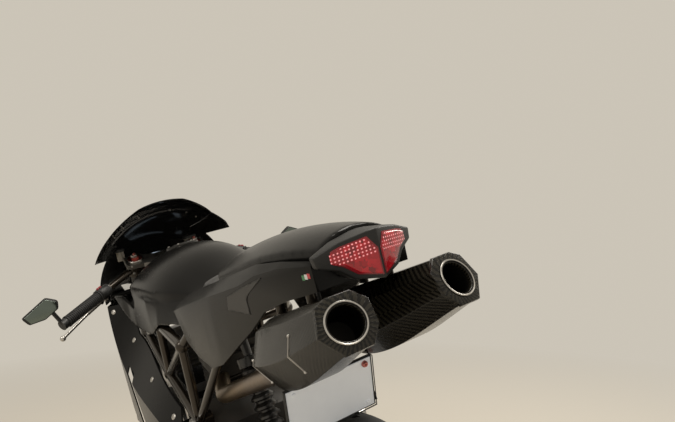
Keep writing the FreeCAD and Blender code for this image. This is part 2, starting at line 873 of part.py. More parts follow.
def off_frame(name, piece, met):
    """A piece with the frame's tubes and joints that it meets taken out of its end."""
    return cut(name, piece, [frame_pieces[word] for word in met.split()])


def across(spot):
    """The same point on the right side."""
    return Vector(spot.x, -spot.y, spot.z)


def trellis_frame():
    """Straight tubes from the steering head to the engine, in triangles."""
    main = size("frame_radius")
    brace = size("brace_radius")
    # start, end, radius
    runs = [
        (HEAD_UPPER, UPPER[0], main), (UPPER[0], UPPER[1], main), (UPPER[1], UPPER[2], main),
        (HEAD_LOWER, LOWER[0], main), (LOWER[0], LOWER[1], main), (LOWER[1], LOWER[2], main),
        (UPPER[0], LOWER[0], brace), (LOWER[0], UPPER[1], brace), (UPPER[1], LOWER[1], brace),
        (LOWER[1], UPPER[2], brace), (UPPER[2], LOWER[2], brace), (HEAD_LOWER, UPPER[0], brace),
    ]
    tubes = []
    for number, (start, end, radius) in enumerate(runs):
        left = tube("FrameTube%d" % number, start, end, radius)
        frame_pieces["tube%d" % number] = left
        tubes += [left, mirrored("FrameTubeRight%d" % number, left)]
    for number, spot in enumerate((UPPER[1], UPPER[2])):
        tubes.append(tube("FrameCross%d" % number, spot, across(spot), brace))
    for number, spot in enumerate(UPPER + LOWER):
        joint = ball("FrameJoint%d" % number, spot, main + 3)
        tubes += [joint, mirrored("FrameJointRight%d" % number, joint)]
        frame_pieces["joint%d" % number] = joint
    lug = tube("EngineLug", Vector(LOWER[2].x, float(size("engine_half_width")), LOWER[2].z), LOWER[2], 20)
    frame_pieces["lug"] = lug
    tubes += [lug, mirrored("EngineLugRight", lug)]
    for number, spot in enumerate((Vector(262, SIDE - 6, 796), Vector(70, SIDE, 774))):
        top = Vector(spot.x, spot.y, TANK_LOW - 0.3)
        post = tube("TankPost%d" % number, spot, top, 10)
        tubes += [post, mirrored("TankPostRight%d" % number, post)]
    head_place = FORK.multiply(Placement(Vector(-FORK_OFFSET, 0, HEAD_LOW), Rotation()))
    head = doc.addObject("Part::Cylinder", "HeadTube")
    bind(head, "Radius", size("head_radius"))
    head.Height = HEAD_HIGH - HEAD_LOW
    head.Placement = head_place
    frame_pieces["head"] = head
    bore = doc.addObject("Part::Cylinder", "HeadBore")
    bind(bore, "Radius", size("stem_radius") + size("running_gap"))
    bore.Height = HEAD_HIGH - HEAD_LOW + 80
    bore.Placement = FORK.multiply(Placement(Vector(-FORK_OFFSET, 0, HEAD_LOW - 40), Rotation()))
    keep(cut("Trellis", fuse("TrellisTubes", tubes + [head]), [bore]), "trellis_frame")


def engine():
    """The crankcase as one plain block, two finned cylinders and the round side covers."""
    half = size("engine_half_width")
    body = new_body("Crankcase")
    slab(body, "CrankcaseSide", [
        (-150, 236),
        (60, 226),
        (150, 300),
        (168, 420),
        (110, 500),
        (-20, 540),
        (-110, 560),
        (-172, 500),
        (-180, 420),
        (-180, 300),
    ], -1 * half, half)
    slab(body, "PivotLug", [
        (-176, 330),
        (-232, 360),
        (-236, 420),
        (-176, 440),
    ], -48, 48)
    block_body = keep(body, "crankcase")
    covers = []
    left = new_body("AlternatorCover")
    disc(left, "AlternatorRim", [(60, 370, 78)], half, half + 26)
    disc(left, "AlternatorTop", [(60, 370, 58)], half + 26, half + 34)
    covers.append(left)
    right = new_body("ClutchCover")
    disc(right, "ClutchRim", [(-70, 400, 92)], -1 * half - 34, -1 * half)
    disc(right, "ClutchTop", [(-70, 400, 66)], -1 * half - 44, -1 * half - 34)
    covers.append(right)
    keep(together("EngineCovers", covers), "engine_covers")
    wide = size("cylinder_half_width")
    # name, label, foot, tilt forward
    for name, label, foot, tilt in (
        ("RearCylinder", "rear_cylinder", Vector(-30, 0, 543), -14),
        ("FrontCylinder", "front_cylinder", Vector(158, 0, 400), 82),
    ):
        barrel = cylinder(name, wide, 6)
        barrel.Placement = Placement(foot, Rotation(Vector(0, 1, 0), tilt))
        keep(cut(name + "Seat", barrel, [block_body]), label)


def cylinder(name, wide, fins):
    """One cylinder with its head: a barrel with cooling fins, a head and a cam cover."""
    body = new_body(name)
    deck(body, name + "Barrel", square(56, wide - 14), 0, 80)
    for number in range(fins):
        low = 8 + number * 12
        deck(body, "%sFin%d" % (name, number), square(66, wide - 4), low, low + 4)
    deck(body, name + "Head", square(72, wide), 80, 140)
    deck(body, name + "Cover", square(60, wide - 8), 140, 162)
    return body


def square(length, width):
    """Corners of a plan about the origin, from its half length and half width."""
    return [(-1 * length, -1 * width), (length, -1 * width), (length, width), (-1 * length, width)]


# Rear arm, suspension and drive

PIVOT = Vector(-206, 0, 390)
ARM_IN = size("arm_inside")
ARM_OUT = ARM_IN + size("arm_thickness")
GEARBOX = Vector(-96, 0, 340)


def rear_arm():
    """A single-sided arm: fork ends at the pivot, a bridge and one leg to the hub."""
    body = new_body("RearArm")
    hub = (REAR_AXLE.x, REAR_AXLE.z, 64)
    slab(body, "ArmLeg", [
        (-196, 352),
        (-196, 430),
        (-300, 452),
        (-470, 420),
        (REAR_AXLE.x, REAR_AXLE.z + 64),
        (REAR_AXLE.x - 50, REAR_AXLE.z),
        (REAR_AXLE.x, REAR_AXLE.z - 64),
        (-600, 268),
        (-440, 320),
    ], ARM_IN, ARM_OUT)
    disc(body, "ArmHub", [hub], ARM_HUB_LOW, ARM_OUT)
    slab(body, "ArmBridge", [
        (-300, 366),
        (-250, 366),
        (-250, 434),
        (-300, 440),
    ], -110, ARM_IN + 1)
    slab(body, "ArmRightEnd", [
        (-300, 366),
        (-190, 356),
        (-190, 424),
        (-300, 440),
    ], -110, -48 - size("side_gap"))
    slab(body, "ArmLeftEnd", [
        (-300, 366),
        (-190, 356),
        (-190, 424),
        (-300, 440),
    ], 48 + size("side_gap"), ARM_IN + 1)
    hole = round_sketch(body, "ArmHubBore", "XZ_Plane", [
        (REAR_AXLE.x, REAR_AXLE.z, size("rear_axle_radius") + size("running_gap"))], offset=-1 * (ARM_OUT + 10))
    bore = body.newObject("PartDesign::Pocket", "ArmHubHole")
    bore.Profile = hole
    bore.Length = 200
    bore.Reversed = True
    keep(body, "swingarm")


def shock():
    """Spring and damper between the arm's bridge and the frame's rear cross tube."""
    body = new_body("Shock")
    low = Vector(-270, 0, 438.6)
    high = Vector(-184, 0, 728)
    length = (high - low).Length
    rings = [(0, 0), (11, 0), (11, 26), (30, 30), (30, 36)]
    coil_start, coil_pitch, coils = 36, 24, 7
    for number in range(coils):
        base = coil_start + number * coil_pitch
        rings += [(21, base + 4), (21, base + 8), (31, base + 13), (31, base + 19)]
    top = coil_start + coils * coil_pitch
    rings += [(24, top + 4), (34, top + 6), (34, top + 30), (12, top + 34), (12, length - 14), (0, length - 14)]
    flat = sketch(body, "ShockProfile", "XZ_Plane", [(float(r), float(z)) for r, z in rings])
    feature = body.newObject("PartDesign::Revolution", "ShockTurn")
    feature.Profile = flat
    feature.ReferenceAxis = (origin_feature(body, "Z_Axis"), [""])
    feature.Angle = 360
    body.Placement = Placement(low, Rotation(Vector(0, 0, 1), high - low))
    keep(body, "shock_absorber")


def belt(radius_front, radius_rear):
    """Corners of a loop around both sprockets, with its straight runs tangent to them."""
    gap = math.hypot(GEARBOX.x - REAR_AXLE.x, GEARBOX.z - REAR_AXLE.z)
    tilt = math.atan2(GEARBOX.z - REAR_AXLE.z, GEARBOX.x - REAR_AXLE.x)
    spread = math.acos((float(radius_rear) - float(radius_front)) / gap)
    corners = []
    for centre, radius, angle in (
        (GEARBOX, radius_front, tilt - spread),
        (GEARBOX, radius_front, tilt),
        (GEARBOX, radius_front, tilt + spread),
        (REAR_AXLE, radius_rear, tilt + spread),
        (REAR_AXLE, radius_rear, tilt + math.pi),
        (REAR_AXLE, radius_rear, tilt - spread),
    ):
        spot = (centre.x + radius * math.cos(angle), centre.z + radius * math.sin(angle))
        corners.append(spot if abs(angle - tilt - spread) < 1e-9 and centre is GEARBOX else spot + (radius,))
    last = corners[-1]
    corners[-1] = last[:2]
    return corners


def chain():
    """The drive chain, as one fixed loop round the sprockets."""
    plate = size("chain_height") / 2
    middle = size("chain_line")
    half = size("chain_width") / 2
    body = new_body("Chain")
    slab(body, "ChainOutside", belt(size("front_sprocket_radius") + plate, size("rear_sprocket_radius") + plate),
         middle - half, middle + half)
    inside = sketch(body, "ChainInside", "XZ_Plane",
                    belt(size("front_sprocket_radius") - plate, size("rear_sprocket_radius") - plate),
                    offset=-1 * (middle + half))
    hollow = body.newObject("PartDesign::Pocket", "ChainHollow")
    hollow.Profile = inside
    bind(hollow, "Length", size("chain_width"))
    hollow.Reversed = True
    keep(body, "drive_chain")
    gear = new_body("FrontSprocket")
    root = size("front_sprocket_radius") - plate - 0.5
    disc(gear, "FrontSprocketRing", [(GEARBOX.x, GEARBOX.z, root)], middle - 4, middle + 4)
    disc(gear, "OutputShaft", [(GEARBOX.x, GEARBOX.z, 16)], size("engine_half_width"), middle + 12)
    keep(gear, "front_sprocket")


# Body panels


def dome(body, name, x, half, low, shoulder, top):
    """A section across the bike: flat bottom, upright sides, and a roof of one arc."""
    rise = top - shoulder
    radius = (half * half + rise * rise) / (2 * rise)
    return sketch(body, name, "YZ_Plane", [
        (-1 * half, low),
        (half, low),
        (half, shoulder, radius),
        (-1 * half, shoulder),
    ], offset=x)


def loft(name, stations, section, body=None, take_away=False, ruled=False):
    """A solid through sections across the bike, straight between them where it is ruled."""
    body = body or new_body(name)
    flats = [section(body, "%sSection%d" % (name, number), *row) for number, row in enumerate(stations)]
    kind = "PartDesign::SubtractiveLoft" if take_away else "PartDesign::AdditiveLoft"
    feature = body.newObject(kind, name + "Loft")
    feature.Profile = flats[0]
    feature.Sections = flats[1:]
    feature.Ruled = ruled
    return body


TANK_LOW = 836
# x, half width, shoulder, top
TANK = [
    (318, 120, 862, 900),
    (270, 166, 872, 936),
    (120, 172, 880, 966),
    (-40, 150, 876, 960),
    (-160, 104, 866, 920),
    (-232, 86, 858, 886),
]
# Skirt that hangs from the tank's side: x, inner half width, top, half width at the top,
# bottom, half width at the bottom
TANK_SKIRT = [
    (404, 196, 842, 204, 832, 206),
    (350, 181, 842, 189, 780, 195),
    (318, 172, 822, 180, 750, 184),
    (270, 168.6, 802, 176.6, 738, 178.6),
    (240, 166, 812, 176, 738, 178),
    (205, 150, 850, 176, 738, 177),
    (55, 150, 850, 172, 746, 176),
    (-20, 140, 846, 157, 780, 169),
    (-100, 118, 842, 132, 785, 147),
    (-181, 90, 842, 104, 790, 130),
]
SKIRT_WALL = 6
DECK_START = -236
DECK_HEIGHT = 820
DECK_SLOPE = 0.2229
TAIL_LOW = DECK_HEIGHT - 24
TAIL_LOW_SLOPE = 0.196
TAIL_END = -900
# x, half width, shoulder and top above the deck
PILLION = [
    (-474, 104, 61, 96),
    (-600, 100, 55, 91),
    (-760, 88, 43, 71),
    (TAIL_END, 70, 16, 40),
]
# x, half width, shoulder and top above the deck
SEAT = [
    (-240, 86, 44, 64),
    (-300, 100, 58, 74),
    (-390, 103, 57, 71),
    (-472, 102, 53, 67),
]
# x, half width of the seats' base
TAIL = [
    (-236, 148),
    (-304, 141),
    (-381, 137),
    (-463, 132),
    (-535, 124),
    (-640, 113),
    (-710, 106),
    (-800, 96),
    (TAIL_END, 83),
]
# Side panel of the tail: x, then half width and height above the deck of its lower edge, of its
# crease and of its rim
TAIL_SIDE = [
    (-190, 150, 20, 151, 28, 139, 40),
    (-252, 152, -55, 150, 28, 122, 52),
    (-304, 147, -97, 146, 27, 115, 53),
    (-381, 141, -131, 141, 26, 111, 51),
    (-463, 137, -126, 135, 23, 109, 48),
    (-535, 126, -102, 128, 20, 107, 46),
    (-640, 115, -72, 118, 17, 104, 42),
    (-710, 108, -46, 110, 22, 100, 40),
    (-800, 98, -40, 99, 16, 92, 26),
    (TAIL_END, 86, -42, 87, -2, 84, 6),
]


def deck_height(x):
    """Height of the plane that the seats rest on."""
    return DECK_HEIGHT + (DECK_START - x) * DECK_SLOPE


def tail_low(x):
    """Height of the tail's flat underside."""
    return TAIL_LOW + (DECK_START - x) * TAIL_LOW_SLOPE


def both_sides(name, stations, section, body):
    """Adds a ruled loft on the left and its twin on the right to a body."""
    for side in (1, -1):
        rows = [(row[0], side) + row[1:] for row in stations]
        loft("%s%d" % (name, side + 1), rows, section, body=body, ruled=True)


def skirt_section(body, name, x, side, inside, top, top_half, bottom, bottom_half):
    """A ledge on the tank's side that turns down into a thin skirt."""
    under = min(max(TANK_LOW, bottom + 4), top - SKIRT_WALL)
    return sketch(body, name, "YZ_Plane", [
        (side * inside, top),
        (side * top_half, top),
        (side * bottom_half, bottom),
        (side * (bottom_half - SKIRT_WALL), bottom),
        (side * (top_half - SKIRT_WALL), under),
        (side * inside, under),
    ], offset=x)


def tank():
    """The fuel tank, over the frame's upper tubes, with a skirt down each side."""
    stations = [(x, half, TANK_LOW, shoulder, top) for x, half, shoulder, top in TANK]
    body = loft("Tank", stations, dome)
    both_sides("TankSkirt", TANK_SKIRT, skirt_section, body)
    keep(body, "fuel_tank")


def tail_section(body, name, x, wide):
    """A section of the seats' base: flat underside, flat deck and upright sides."""
    low, high = tail_low(x), deck_height(x)
    return sketch(body, name, "YZ_Plane", [(-1 * wide, low), (wide, low), (wide, high), (-1 * wide, high)], offset=x)


def side_section(body, name, x, side, foot_half, foot, crease_half, crease, rim_half, rim):
    """A section of the tail's side panel: upright below the crease and leaning in above it."""
    deck_at = deck_height(x)
    return sketch(body, name, "YZ_Plane", [
        (side * foot_half, deck_at + foot),
        (side * crease_half, deck_at + crease),
        (side * rim_half, deck_at + rim),
        (side * (rim_half - 3), deck_at + rim - 6),
        (side * (crease_half - 7), deck_at + crease - 3),
        (side * (foot_half - 6), deck_at + foot),
    ], offset=x)


def tail():
    """Tail unit with its side panels, the rider's seat and the hump behind it."""
    body = loft("TailCowl", TAIL, tail_section)
    both_sides("TailSide", TAIL_SIDE, side_section, body)
    keep(body, "tail_cowl")
    for name, label, rows in (("PillionHump", "pillion_seat", PILLION), ("SeatCushion", "rider_seat", SEAT)):
        stations = []
        for x, half, shoulder, top in rows:
            base = deck_height(x)
            stations.append((x, half, base, base + shoulder, base + top))
        keep(loft(name, stations, dome), label)


NOSE = FRONT_AXLE.x
# x, half width, belly height, height where the side starts, height where it leans in
FAIRING = [
    (NOSE - 115, 176, 560, 640, 900),
    (NOSE - 235, 226, 300, 520, 790),
    (370, 240, 150, 440, 640),
    (120, 236, 132, 420, 545),
    (-60, 220, 132, 410, 495),
    (-200, 196, 140, 410, 465),
]
# Half width at which the leaning sides would meet a lid, and their rise for each mm inwards
NECK = 140
LEAN_RISE = 1.32


def hull(body, name, x, half, low, waist, brow):
    """A section of the side panels: upright sides that round in to a narrow belly and lean in above."""
    foot = 70
    bulge = 1.15 * (waist - low) + 40
    crown = brow + (half - NECK) * LEAN_RISE
    return sketch(body, name, "YZ_Plane", [
        (-1 * foot, low),
        (foot, low, bulge),
        (half, waist),
        (half, brow),
        (NECK, crown),
        (-1 * NECK, crown),
        (-1 * half, brow),
        (-1 * half, waist, bulge),
    ], offset=x)


def shrink(stations, wall):
    """The inside of a shell: each section a wall smaller."""
    return [(x, half - wall, low + wall, waist, brow - wall / 3) for x, half, low, waist, brow in stations]


# Sides of each panel, (x, z)
SIDE_PANEL = [
    (NOSE - 119, 690),
    (NOSE - 119, 800),
    (450, 800),
    (330, 706),
    (-60, 556),
    (-150, 450),
    (-100, 262),
    (330, 262),
    (395, 420),
    (NOSE - 225, 600),
]
SIDE_VENT = [
    (318, 622),
    (270, 604),
    (196, 452),
    (246, 438),
]
BELLY_PANEL = [
    (330, 261.6),
    (-100, 261.6),
    (-112, 100),
    (300, 100),
]


def side_panels():
    """Left and right side fairings and the belly pan, cut from one curved shell."""
    wall = float(size("panel_wall"))
    shell = loft("FairingShell", FAIRING, hull)
    loft("FairingInside", shrink(FAIRING, wall), hull, body=shell, take_away=True)
    left = new_body("SideOutline")
    slab(left, "SideOutlineFlat", SIDE_PANEL, 60, 300)
    vent = sketch(left, "SideVent", "XZ_Plane", SIDE_VENT, offset=-310)
    hole = left.newObject("PartDesign::Pocket", "SideVentHole")
    hole.Profile = vent
    hole.Length = 300
    hole.Reversed = True
    panel = common("SideLeft", shell, left)
    keep(panel, "side_fairing_left")
    keep(mirrored("SideRight", panel), "side_fairing_right")
    belly = new_body("BellyOutline")
    slab(belly, "BellyOutlineFlat", BELLY_PANEL, -300, 300)
    keep(common("Belly", shell, belly), "belly_pan")


# x, half width, bottom, shoulder, top
COWL = [
    (NOSE + 85, 84, 762, 786, 818),
    (NOSE + 25, 146, 736, 796, 874),
    (NOSE - 115, 198, 700, 830, 980),
    (NOSE - 235, 236, 700, 900, 1062),
    (NOSE - 343, 248, 700, 944, 1094),
    (NOSE - 415, 250, 700, 962, 1110),
]
# Outline of the left headlamp from the front, (y, z)
HEADLAMP = [
    (20, 774),
    (64, 774),
    (112, 794),
    (132, 832),
    (104, 826),
    (60, 806),
    (20, 800),
]


def lamp_plug(name, gap):
    """What fills both headlamps' outlines, grown by a gap, along the bike's nose."""
    body = new_body(name)
    middle = (76, 802)
    outline = []
    for spot in HEADLAMP:
        away = Vector(spot[0] - middle[0], spot[1] - middle[1], 0)
        away.multiply(1 + gap / away.Length)
        outline.append((middle[0] + away.x, middle[1] + away.y))
    flat = sketch(body, name + "Outline", "YZ_Plane", outline, offset=NOSE - 60)
    pad(body, flat, 170)
    return pair(name + "Pair", body)


def nose():
    """Upper cowl and windscreen, cut from one domed shell."""
    wall = float(size("panel_wall"))
    shell = loft("CowlShell", COWL, dome)
    inner = [(x, half - wall, low + wall, shoulder, top - wall) for x, half, low, shoulder, top in COWL]
    inner[0] = (inner[0][0] - wall,) + inner[0][1:]
    loft("CowlInside", inner, dome, body=shell, take_away=True)
    lower = new_body("CowlOutline")
    slab(lower, "CowlOutlineFlat", [
        (NOSE + 105, 700),
        (NOSE + 105, 1000),
        (NOSE - 51, 1000),
        (NOSE - 51, 890),
        (NOSE - 185, 988),
        (NOSE - 343, 1028),
        (NOSE - 343, 985),
        (NOSE - 323, 958),
        (NOSE - 193, 950),
        (NOSE - 185, 801),
        (NOSE - 115, 801),
        (NOSE - 105, 700),
    ], -300, 300)
    gap = float(size("panel_gap"))
    whole = common("CowlWhole", shell, lower)
    keep(cut("UpperCowl", whole, [lamp_plug("LampHole", gap)]), "upper_cowl")
    keep(common("Headlamps", whole, lamp_plug("LampGlass", 0)), "headlamps")
    upper = new_body("ScreenOutline")
    slab(upper, "ScreenOutlineFlat", [
        (NOSE - 51.4, 890.8),
        (NOSE - 51.4, 1000),
        (NOSE - 295, 1130),
        (NOSE - 415, 1130),
        (NOSE - 415, 1100),
        (NOSE - 343, 1029),
        (NOSE - 185, 989),
    ], -300, 300)
    keep(common("Screen", shell, upper), "windscreen")


# x, centre's y and z, half width, half height
SILENCER = [
    (-690, 88, 798, 54, 54),
    (-716, 89, 805, 64, 60),
    (-820, 92, 830, 65, 63),
    (-900, 97, 857, 54, 55),
    (-985, 100, 890, 43, 43),
    (-1030, 101, 906, 38, 38),
]
# Middle of the left outlet, and how far its end turns up and outwards
OUTLET = Vector(-995, 100, 896)
OUTLET_UP = 30
OUTLET_OUT = 12


def silencer_section(body, name, x, y, z, wide, tall):
    """A section of a silencer: an uneven eight-sided outline."""
    corners = [(-1, -0.35), (-0.55, -1), (0.45, -1), (1, -0.1), (0.7, 0.8), (0.3, 1), (-0.55, 1), (-1, 0.55)]
    return sketch(body, name, "YZ_Plane", [(y + wide * u, z + tall * v) for u, v in corners], offset=x)


def silencer():
    """A silencer under the tail: a tapered can, cut off aslant, with its round outlet."""
    body = loft("Silencer", SILENCER, silencer_section)
    aim = Rotation(Vector(0, 0, 1), 180 - OUTLET_OUT).multiply(Rotation(Vector(0, 1, 0), -1 * OUTLET_UP))
    beyond = block("SilencerBeyond", (0, -200, -200), (200, 200, 200))
    beyond.Placement = Placement(OUTLET, aim).multiply(beyond.Placement)
    axis = aim.multVec(Vector(1, 0, 0))
    bore = tube("SilencerBore", OUTLET - axis * 90, OUTLET + axis * 10, size("outlet_radius"))
    left = cut("SilencerEnd", body, [beyond, bore])
    keep(left, "silencer_left")
    keep(mirrored("SilencerRight", left), "silencer_right")


def bent_pipe(name, points, radius, bend):
    """A round pipe along straight runs joined by tangent arcs."""
    spots = [Vector(*point) for point in points]
    edges = []
    start = spots[0]
    for before, corner, after in zip(spots, spots[1:], spots[2:]):
        into = (before - corner).normalize()
        out = (after - corner).normalize()
        turn_angle = math.pi - into.getAngle(out)
        back = bend * math.tan(turn_angle / 2)
        first = corner + into * back
        last = corner + out * back
        inward = (into + out).normalize()
        middle = corner + inward * (bend / math.cos(turn_angle / 2) - bend)
        edges.append(Part.LineSegment(start, first).toShape())
        edges.append(Part.Arc(first, middle, last).toShape())
        start = last
    edges.append(Part.LineSegment(start, spots[-1]).toShape())
    spine = Part.Wire(edges)
    circle = Part.Wire([Part.Circle(spots[0], spots[1] - spots[0], float(radius)).toShape()])
    shape = spine.makePipeShell([circle], True, False)
    pipe = doc.addObject("Part::Feature", name)
    pipe.Shape = shape
    return pipe


# Left pipe from the rear cylinder, and right pipe from the front one, under the engine
LEFT_PIPE = [(-96, 52, 610), (-190, 84, 586), (-610, 86, 734), (-700, 88, 800)]
RIGHT_PIPE = [
    (290, -40, 350), (236, -66, 200), (-150, -100, 190), (-264, -142, 300),
    (-264, -142, 500), (-600, -98, 730), (-700, -88, 800),
]


def exhaust():
    """Header pipes from both cylinders, carried on up to the silencers."""
    radius = size("exhaust_radius")
    left = cut("LeftPipeSeat", bent_pipe("LeftPipe", LEFT_PIPE, radius, 50),
               [made["silencer_left"], made["rear_cylinder"]])
    right = cut("RightPipeSeat", bent_pipe("RightPipe", RIGHT_PIPE, radius, 50),
                [made["silencer_right"], made["front_cylinder"]])
    keep(together("ExhaustPipes", [left, right]), "exhaust_pipes")


def tail_space(name):
    """What lies above the tail's flat underside, to end the posts that carry it."""
    space = doc.addObject("Part::Box", name + "TailSpace")
    space.Length, space.Width, space.Height = 1000, 600, 300
    slope = math.degrees(math.atan(TAIL_LOW_SLOPE))
    turned = Rotation(Vector(0, 1, 0), slope)
    corner = Vector(-1000, -300, tail_low(-1000))
    space.Placement = Placement(corner, turned)
    return space


def plate():
    """Blank number plate in a black frame, with the hanger that holds it below the tail."""
    wide = size("plate_width") / 2
    tall = size("plate_height") / 2
    thick = size("plate_thickness")
    border = 4
    back = 3
    place = Placement(Vector(-727, 29, 690), Rotation(Vector(0, 1, 0), -14.6))
    body = new_body("PlateFrame")
    flat = sketch(body, "PlateFrameOutline", "YZ_Plane", square(wide + border, tall + border), offset=0)
    pad(body, flat, back)
    keep(body, "plate_frame", place)
    sheet_body = new_body("NumberPlate")
    flat = sketch(sheet_body, "PlateOutline", "YZ_Plane", square(wide, tall), offset=-1 * thick)
    pad(sheet_body, flat, thick)
    keep(sheet_body, "number_plate", place)
    foot = block("HangerFoot", (back, -44, -20), (back + 5, -14, 46))
    foot.Placement = place.multiply(foot.Placement)
    arm = tube("HangerArm", place.multVec(Vector(14, -29, 16)), (-706, 0, 900), 8)
    hanger = cut("HangerSeat", fuse("HangerWhole", [foot, arm]), [tail_space("Hanger")])
    keep(hanger, "plate_hanger")


def side_stand():
    """The leg, its foot and its pivot eye."""
    leg = tube("StandLeg", STAND_PIVOT, STAND_FOOT, size("stand_radius"))
    eye = tube("StandEye", STAND_PIVOT - STAND_AXIS * EYE_HALF, STAND_PIVOT + STAND_AXIS * EYE_HALF, 20)
    down = STANDING.Rotation.inverted().multVec(Vector(0, 0, -1))
    pad_low = STAND_FOOT
    foot = tube("StandPad", pad_low - down * 8, pad_low, 24)
    whole = fuse("StandWhole", [leg, eye, foot])
    under = tube("StandFloor", pad_low, pad_low + down * 60, 80)
    bolt = tube("StandBolt", STAND_PIVOT - STAND_AXIS * 40, STAND_PIVOT + STAND_AXIS * 40,
                size("stand_bolt_radius") + size("running_gap"))
    keep(cut("Stand", whole, [under, bolt]), "side_stand")


EYE_HALF = 12
STAND_PIVOT = Vector(-186, 128, 250)
FOOT_ON_FLOOR = Vector(-110, 290, 0)
STAND_FOOT = STANDING.inverse().multVec(FOOT_ON_FLOOR)
STAND_FOLDED = Vector(-0.96, 0.20, -0.14).normalize()
STAND_DOWN = (STAND_FOOT - STAND_PIVOT).normalize()
STAND_AXIS = STAND_DOWN.cross(STAND_FOLDED).normalize()


def stand_bracket():
    """The lug on the engine's foot that carries the side stand's bolt."""
    axis = STAND_AXIS
    cheek = EYE_HALF + float(size("side_gap"))
    inner = tube("BracketInner", STAND_PIVOT - axis * (cheek + 12), STAND_PIVOT - axis * cheek, 18)
    outer = tube("BracketOuter", STAND_PIVOT + axis * cheek, STAND_PIVOT + axis * (cheek + 6), 14)
    bolt = tube("BracketBolt", STAND_PIVOT - axis * cheek, STAND_PIVOT + axis * (cheek + 2),
                size("stand_bolt_radius"))
    arm = tube("BracketArm", STAND_PIVOT - axis * (cheek + 11), (-126, 86, 248), 10)
    whole = fuse("StandBracketAll", [bolt, inner, outer, arm])
    keep(cut("StandBracket", whole, [made["crankcase"]]), "stand_bracket")


def rear_subframe():
    """Tubes that carry the tail, with the silencers' hangers."""
    radius = size("subframe_radius")
    parts = []
    # name, start, end, pieces of the frame that it meets
    for name, start, end, met in (
        ("SeatTube", UPPER[2], (-330, 100, 860), "joint2 tube2 tube9 tube10"),
        ("TailTube", LOWER[2], (-560, 92, 900), "joint5 tube5 tube10 lug"),
    ):
        left = off_frame(name + "Start", tube(name, start, end, radius), met)
        left = cut(name + "End", left, [tail_space(name)])
        parts += [left, mirrored(name + "Right", left)]
    for number, (x, y, low) in enumerate(((-740, 87, 876), (-850, 75, 902))):
        post = tube("HangerPost%d" % number, (x, y, low), (x, y, 960), 9)
        hanger = cut("SilencerHanger%d" % number, post, [tail_space("Post%d" % number)])
        parts += [hanger, mirrored("SilencerHangerRight%d" % number, hanger)]
    keep(together("Subframe", parts), "rear_subframe")


STAY_X = NOSE - 115
STAY_Z = 814


def cowl_stay():
    """A spine from the steering head that carries the nose and the instruments."""
    spine_start = in_fork(-FORK_OFFSET + 20, 0, 580)
    spine = tube("StaySpine", spine_start, (STAY_X, 0, STAY_Z), 13)
    reach = COWL[2][1] - float(size("panel_wall")) - 3.6
    bar = tube("StayBar", (STAY_X, -1 * reach, STAY_Z), (STAY_X, reach, STAY_Z), 9)
    post = tube("StayPost", (STAY_X, 0, STAY_Z), (STAY_X, 0, 880), 8)
    boss = ball("StayBoss", (STAY_X, 0, STAY_Z), 16)
    keep(off_frame("StaySeat", fuse("StayWhole", [spine, bar, post, boss]), "head"), "cowl_stay")
    panel = new_body("Instrument")
    deck(panel, "InstrumentCase", square(13, 74), 0, 58)
    panel.Placement = Placement(Vector(STAY_X + 6, 0, 866), Rotation(Vector(0, 1, 0), -24))
    keep(cut("InstrumentSeat", panel, [post]), "instrument_panel")


def coolers():
    """Radiator and oil cooler in front of the engine, with their lugs on the frame."""
    # label, middle, half width, height, tilt
    for label, x, low, half, height, tilt in (
        ("radiator", 356, 535, 118, 150, -12),
        ("oil_cooler", 352, 356, 88, 96, 0),
    ):
        name = label.title().replace("_", "")
        body = new_body(name)
        deck(body, name + "Core", square(11, half - 16), 6, height - 6)
        deck(body, name + "Top", square(15, half - 8), height - 10, height)
        deck(body, name + "Foot", square(15, half - 8), 0, 10)
        for side in (-1, 1):
            ends = sorted((side * (half - 22), side * half))
            flat = [(-15, ends[0]), (15, ends[0]), (15, ends[1]), (-15, ends[1])]
            deck(body, "%sTank%d" % (name, side + 1), flat, 0, height)
        for number in range(9):
            low_fin = 14 + number * (height - 30) / 9
            deck(body, "%sFin%d" % (name, number), square(13, half - 20), low_fin, low_fin + 3)
        body.Placement = Placement(Vector(x, 0, low), Rotation(Vector(0, 1, 0), tilt))
        keep(body, label)
    lug = tube("RadiatorLug", LOWER[0], (336, 108, 652), 8)
    left = cut("RadiatorLugSeat", off_frame("RadiatorLugStart", lug, "joint3 tube3 tube4 tube6 tube7"),
               [made["radiator"]])
    post = tube("CoolerPost", (320, 60, 404), (352, 60, 404), 7)
    post = cut("CoolerPostSeat", post, [made["front_cylinder"], made["oil_cooler"]])
    keep(together("CoolerLugs", [left, mirrored("RadiatorLugRight", left),
                                 post, mirrored("CoolerPostRight", post)]), "cooler_lugs")


def panel_lugs():
    """Posts from the crankcase out to the side panels."""
    parts = []
    radius = 7
    start = float(size("engine_half_width"))
    # number of the fairing's section, height
    for number, height in ((3, 446), (4, 502)):
        x, half, low, waist, brow = FAIRING[number]
        lean = max(height + radius - brow, 0) / LEAN_RISE
        end = half - 1.3 * float(size("panel_wall")) - lean - 1
        post = tube("PanelPost%d" % number, Vector(x, start, height), Vector(x, end, height), radius)
        parts += [post, mirrored("PanelPostRight%d" % number, post)]
    keep(together("PanelLugs", parts), "panel_lugs")


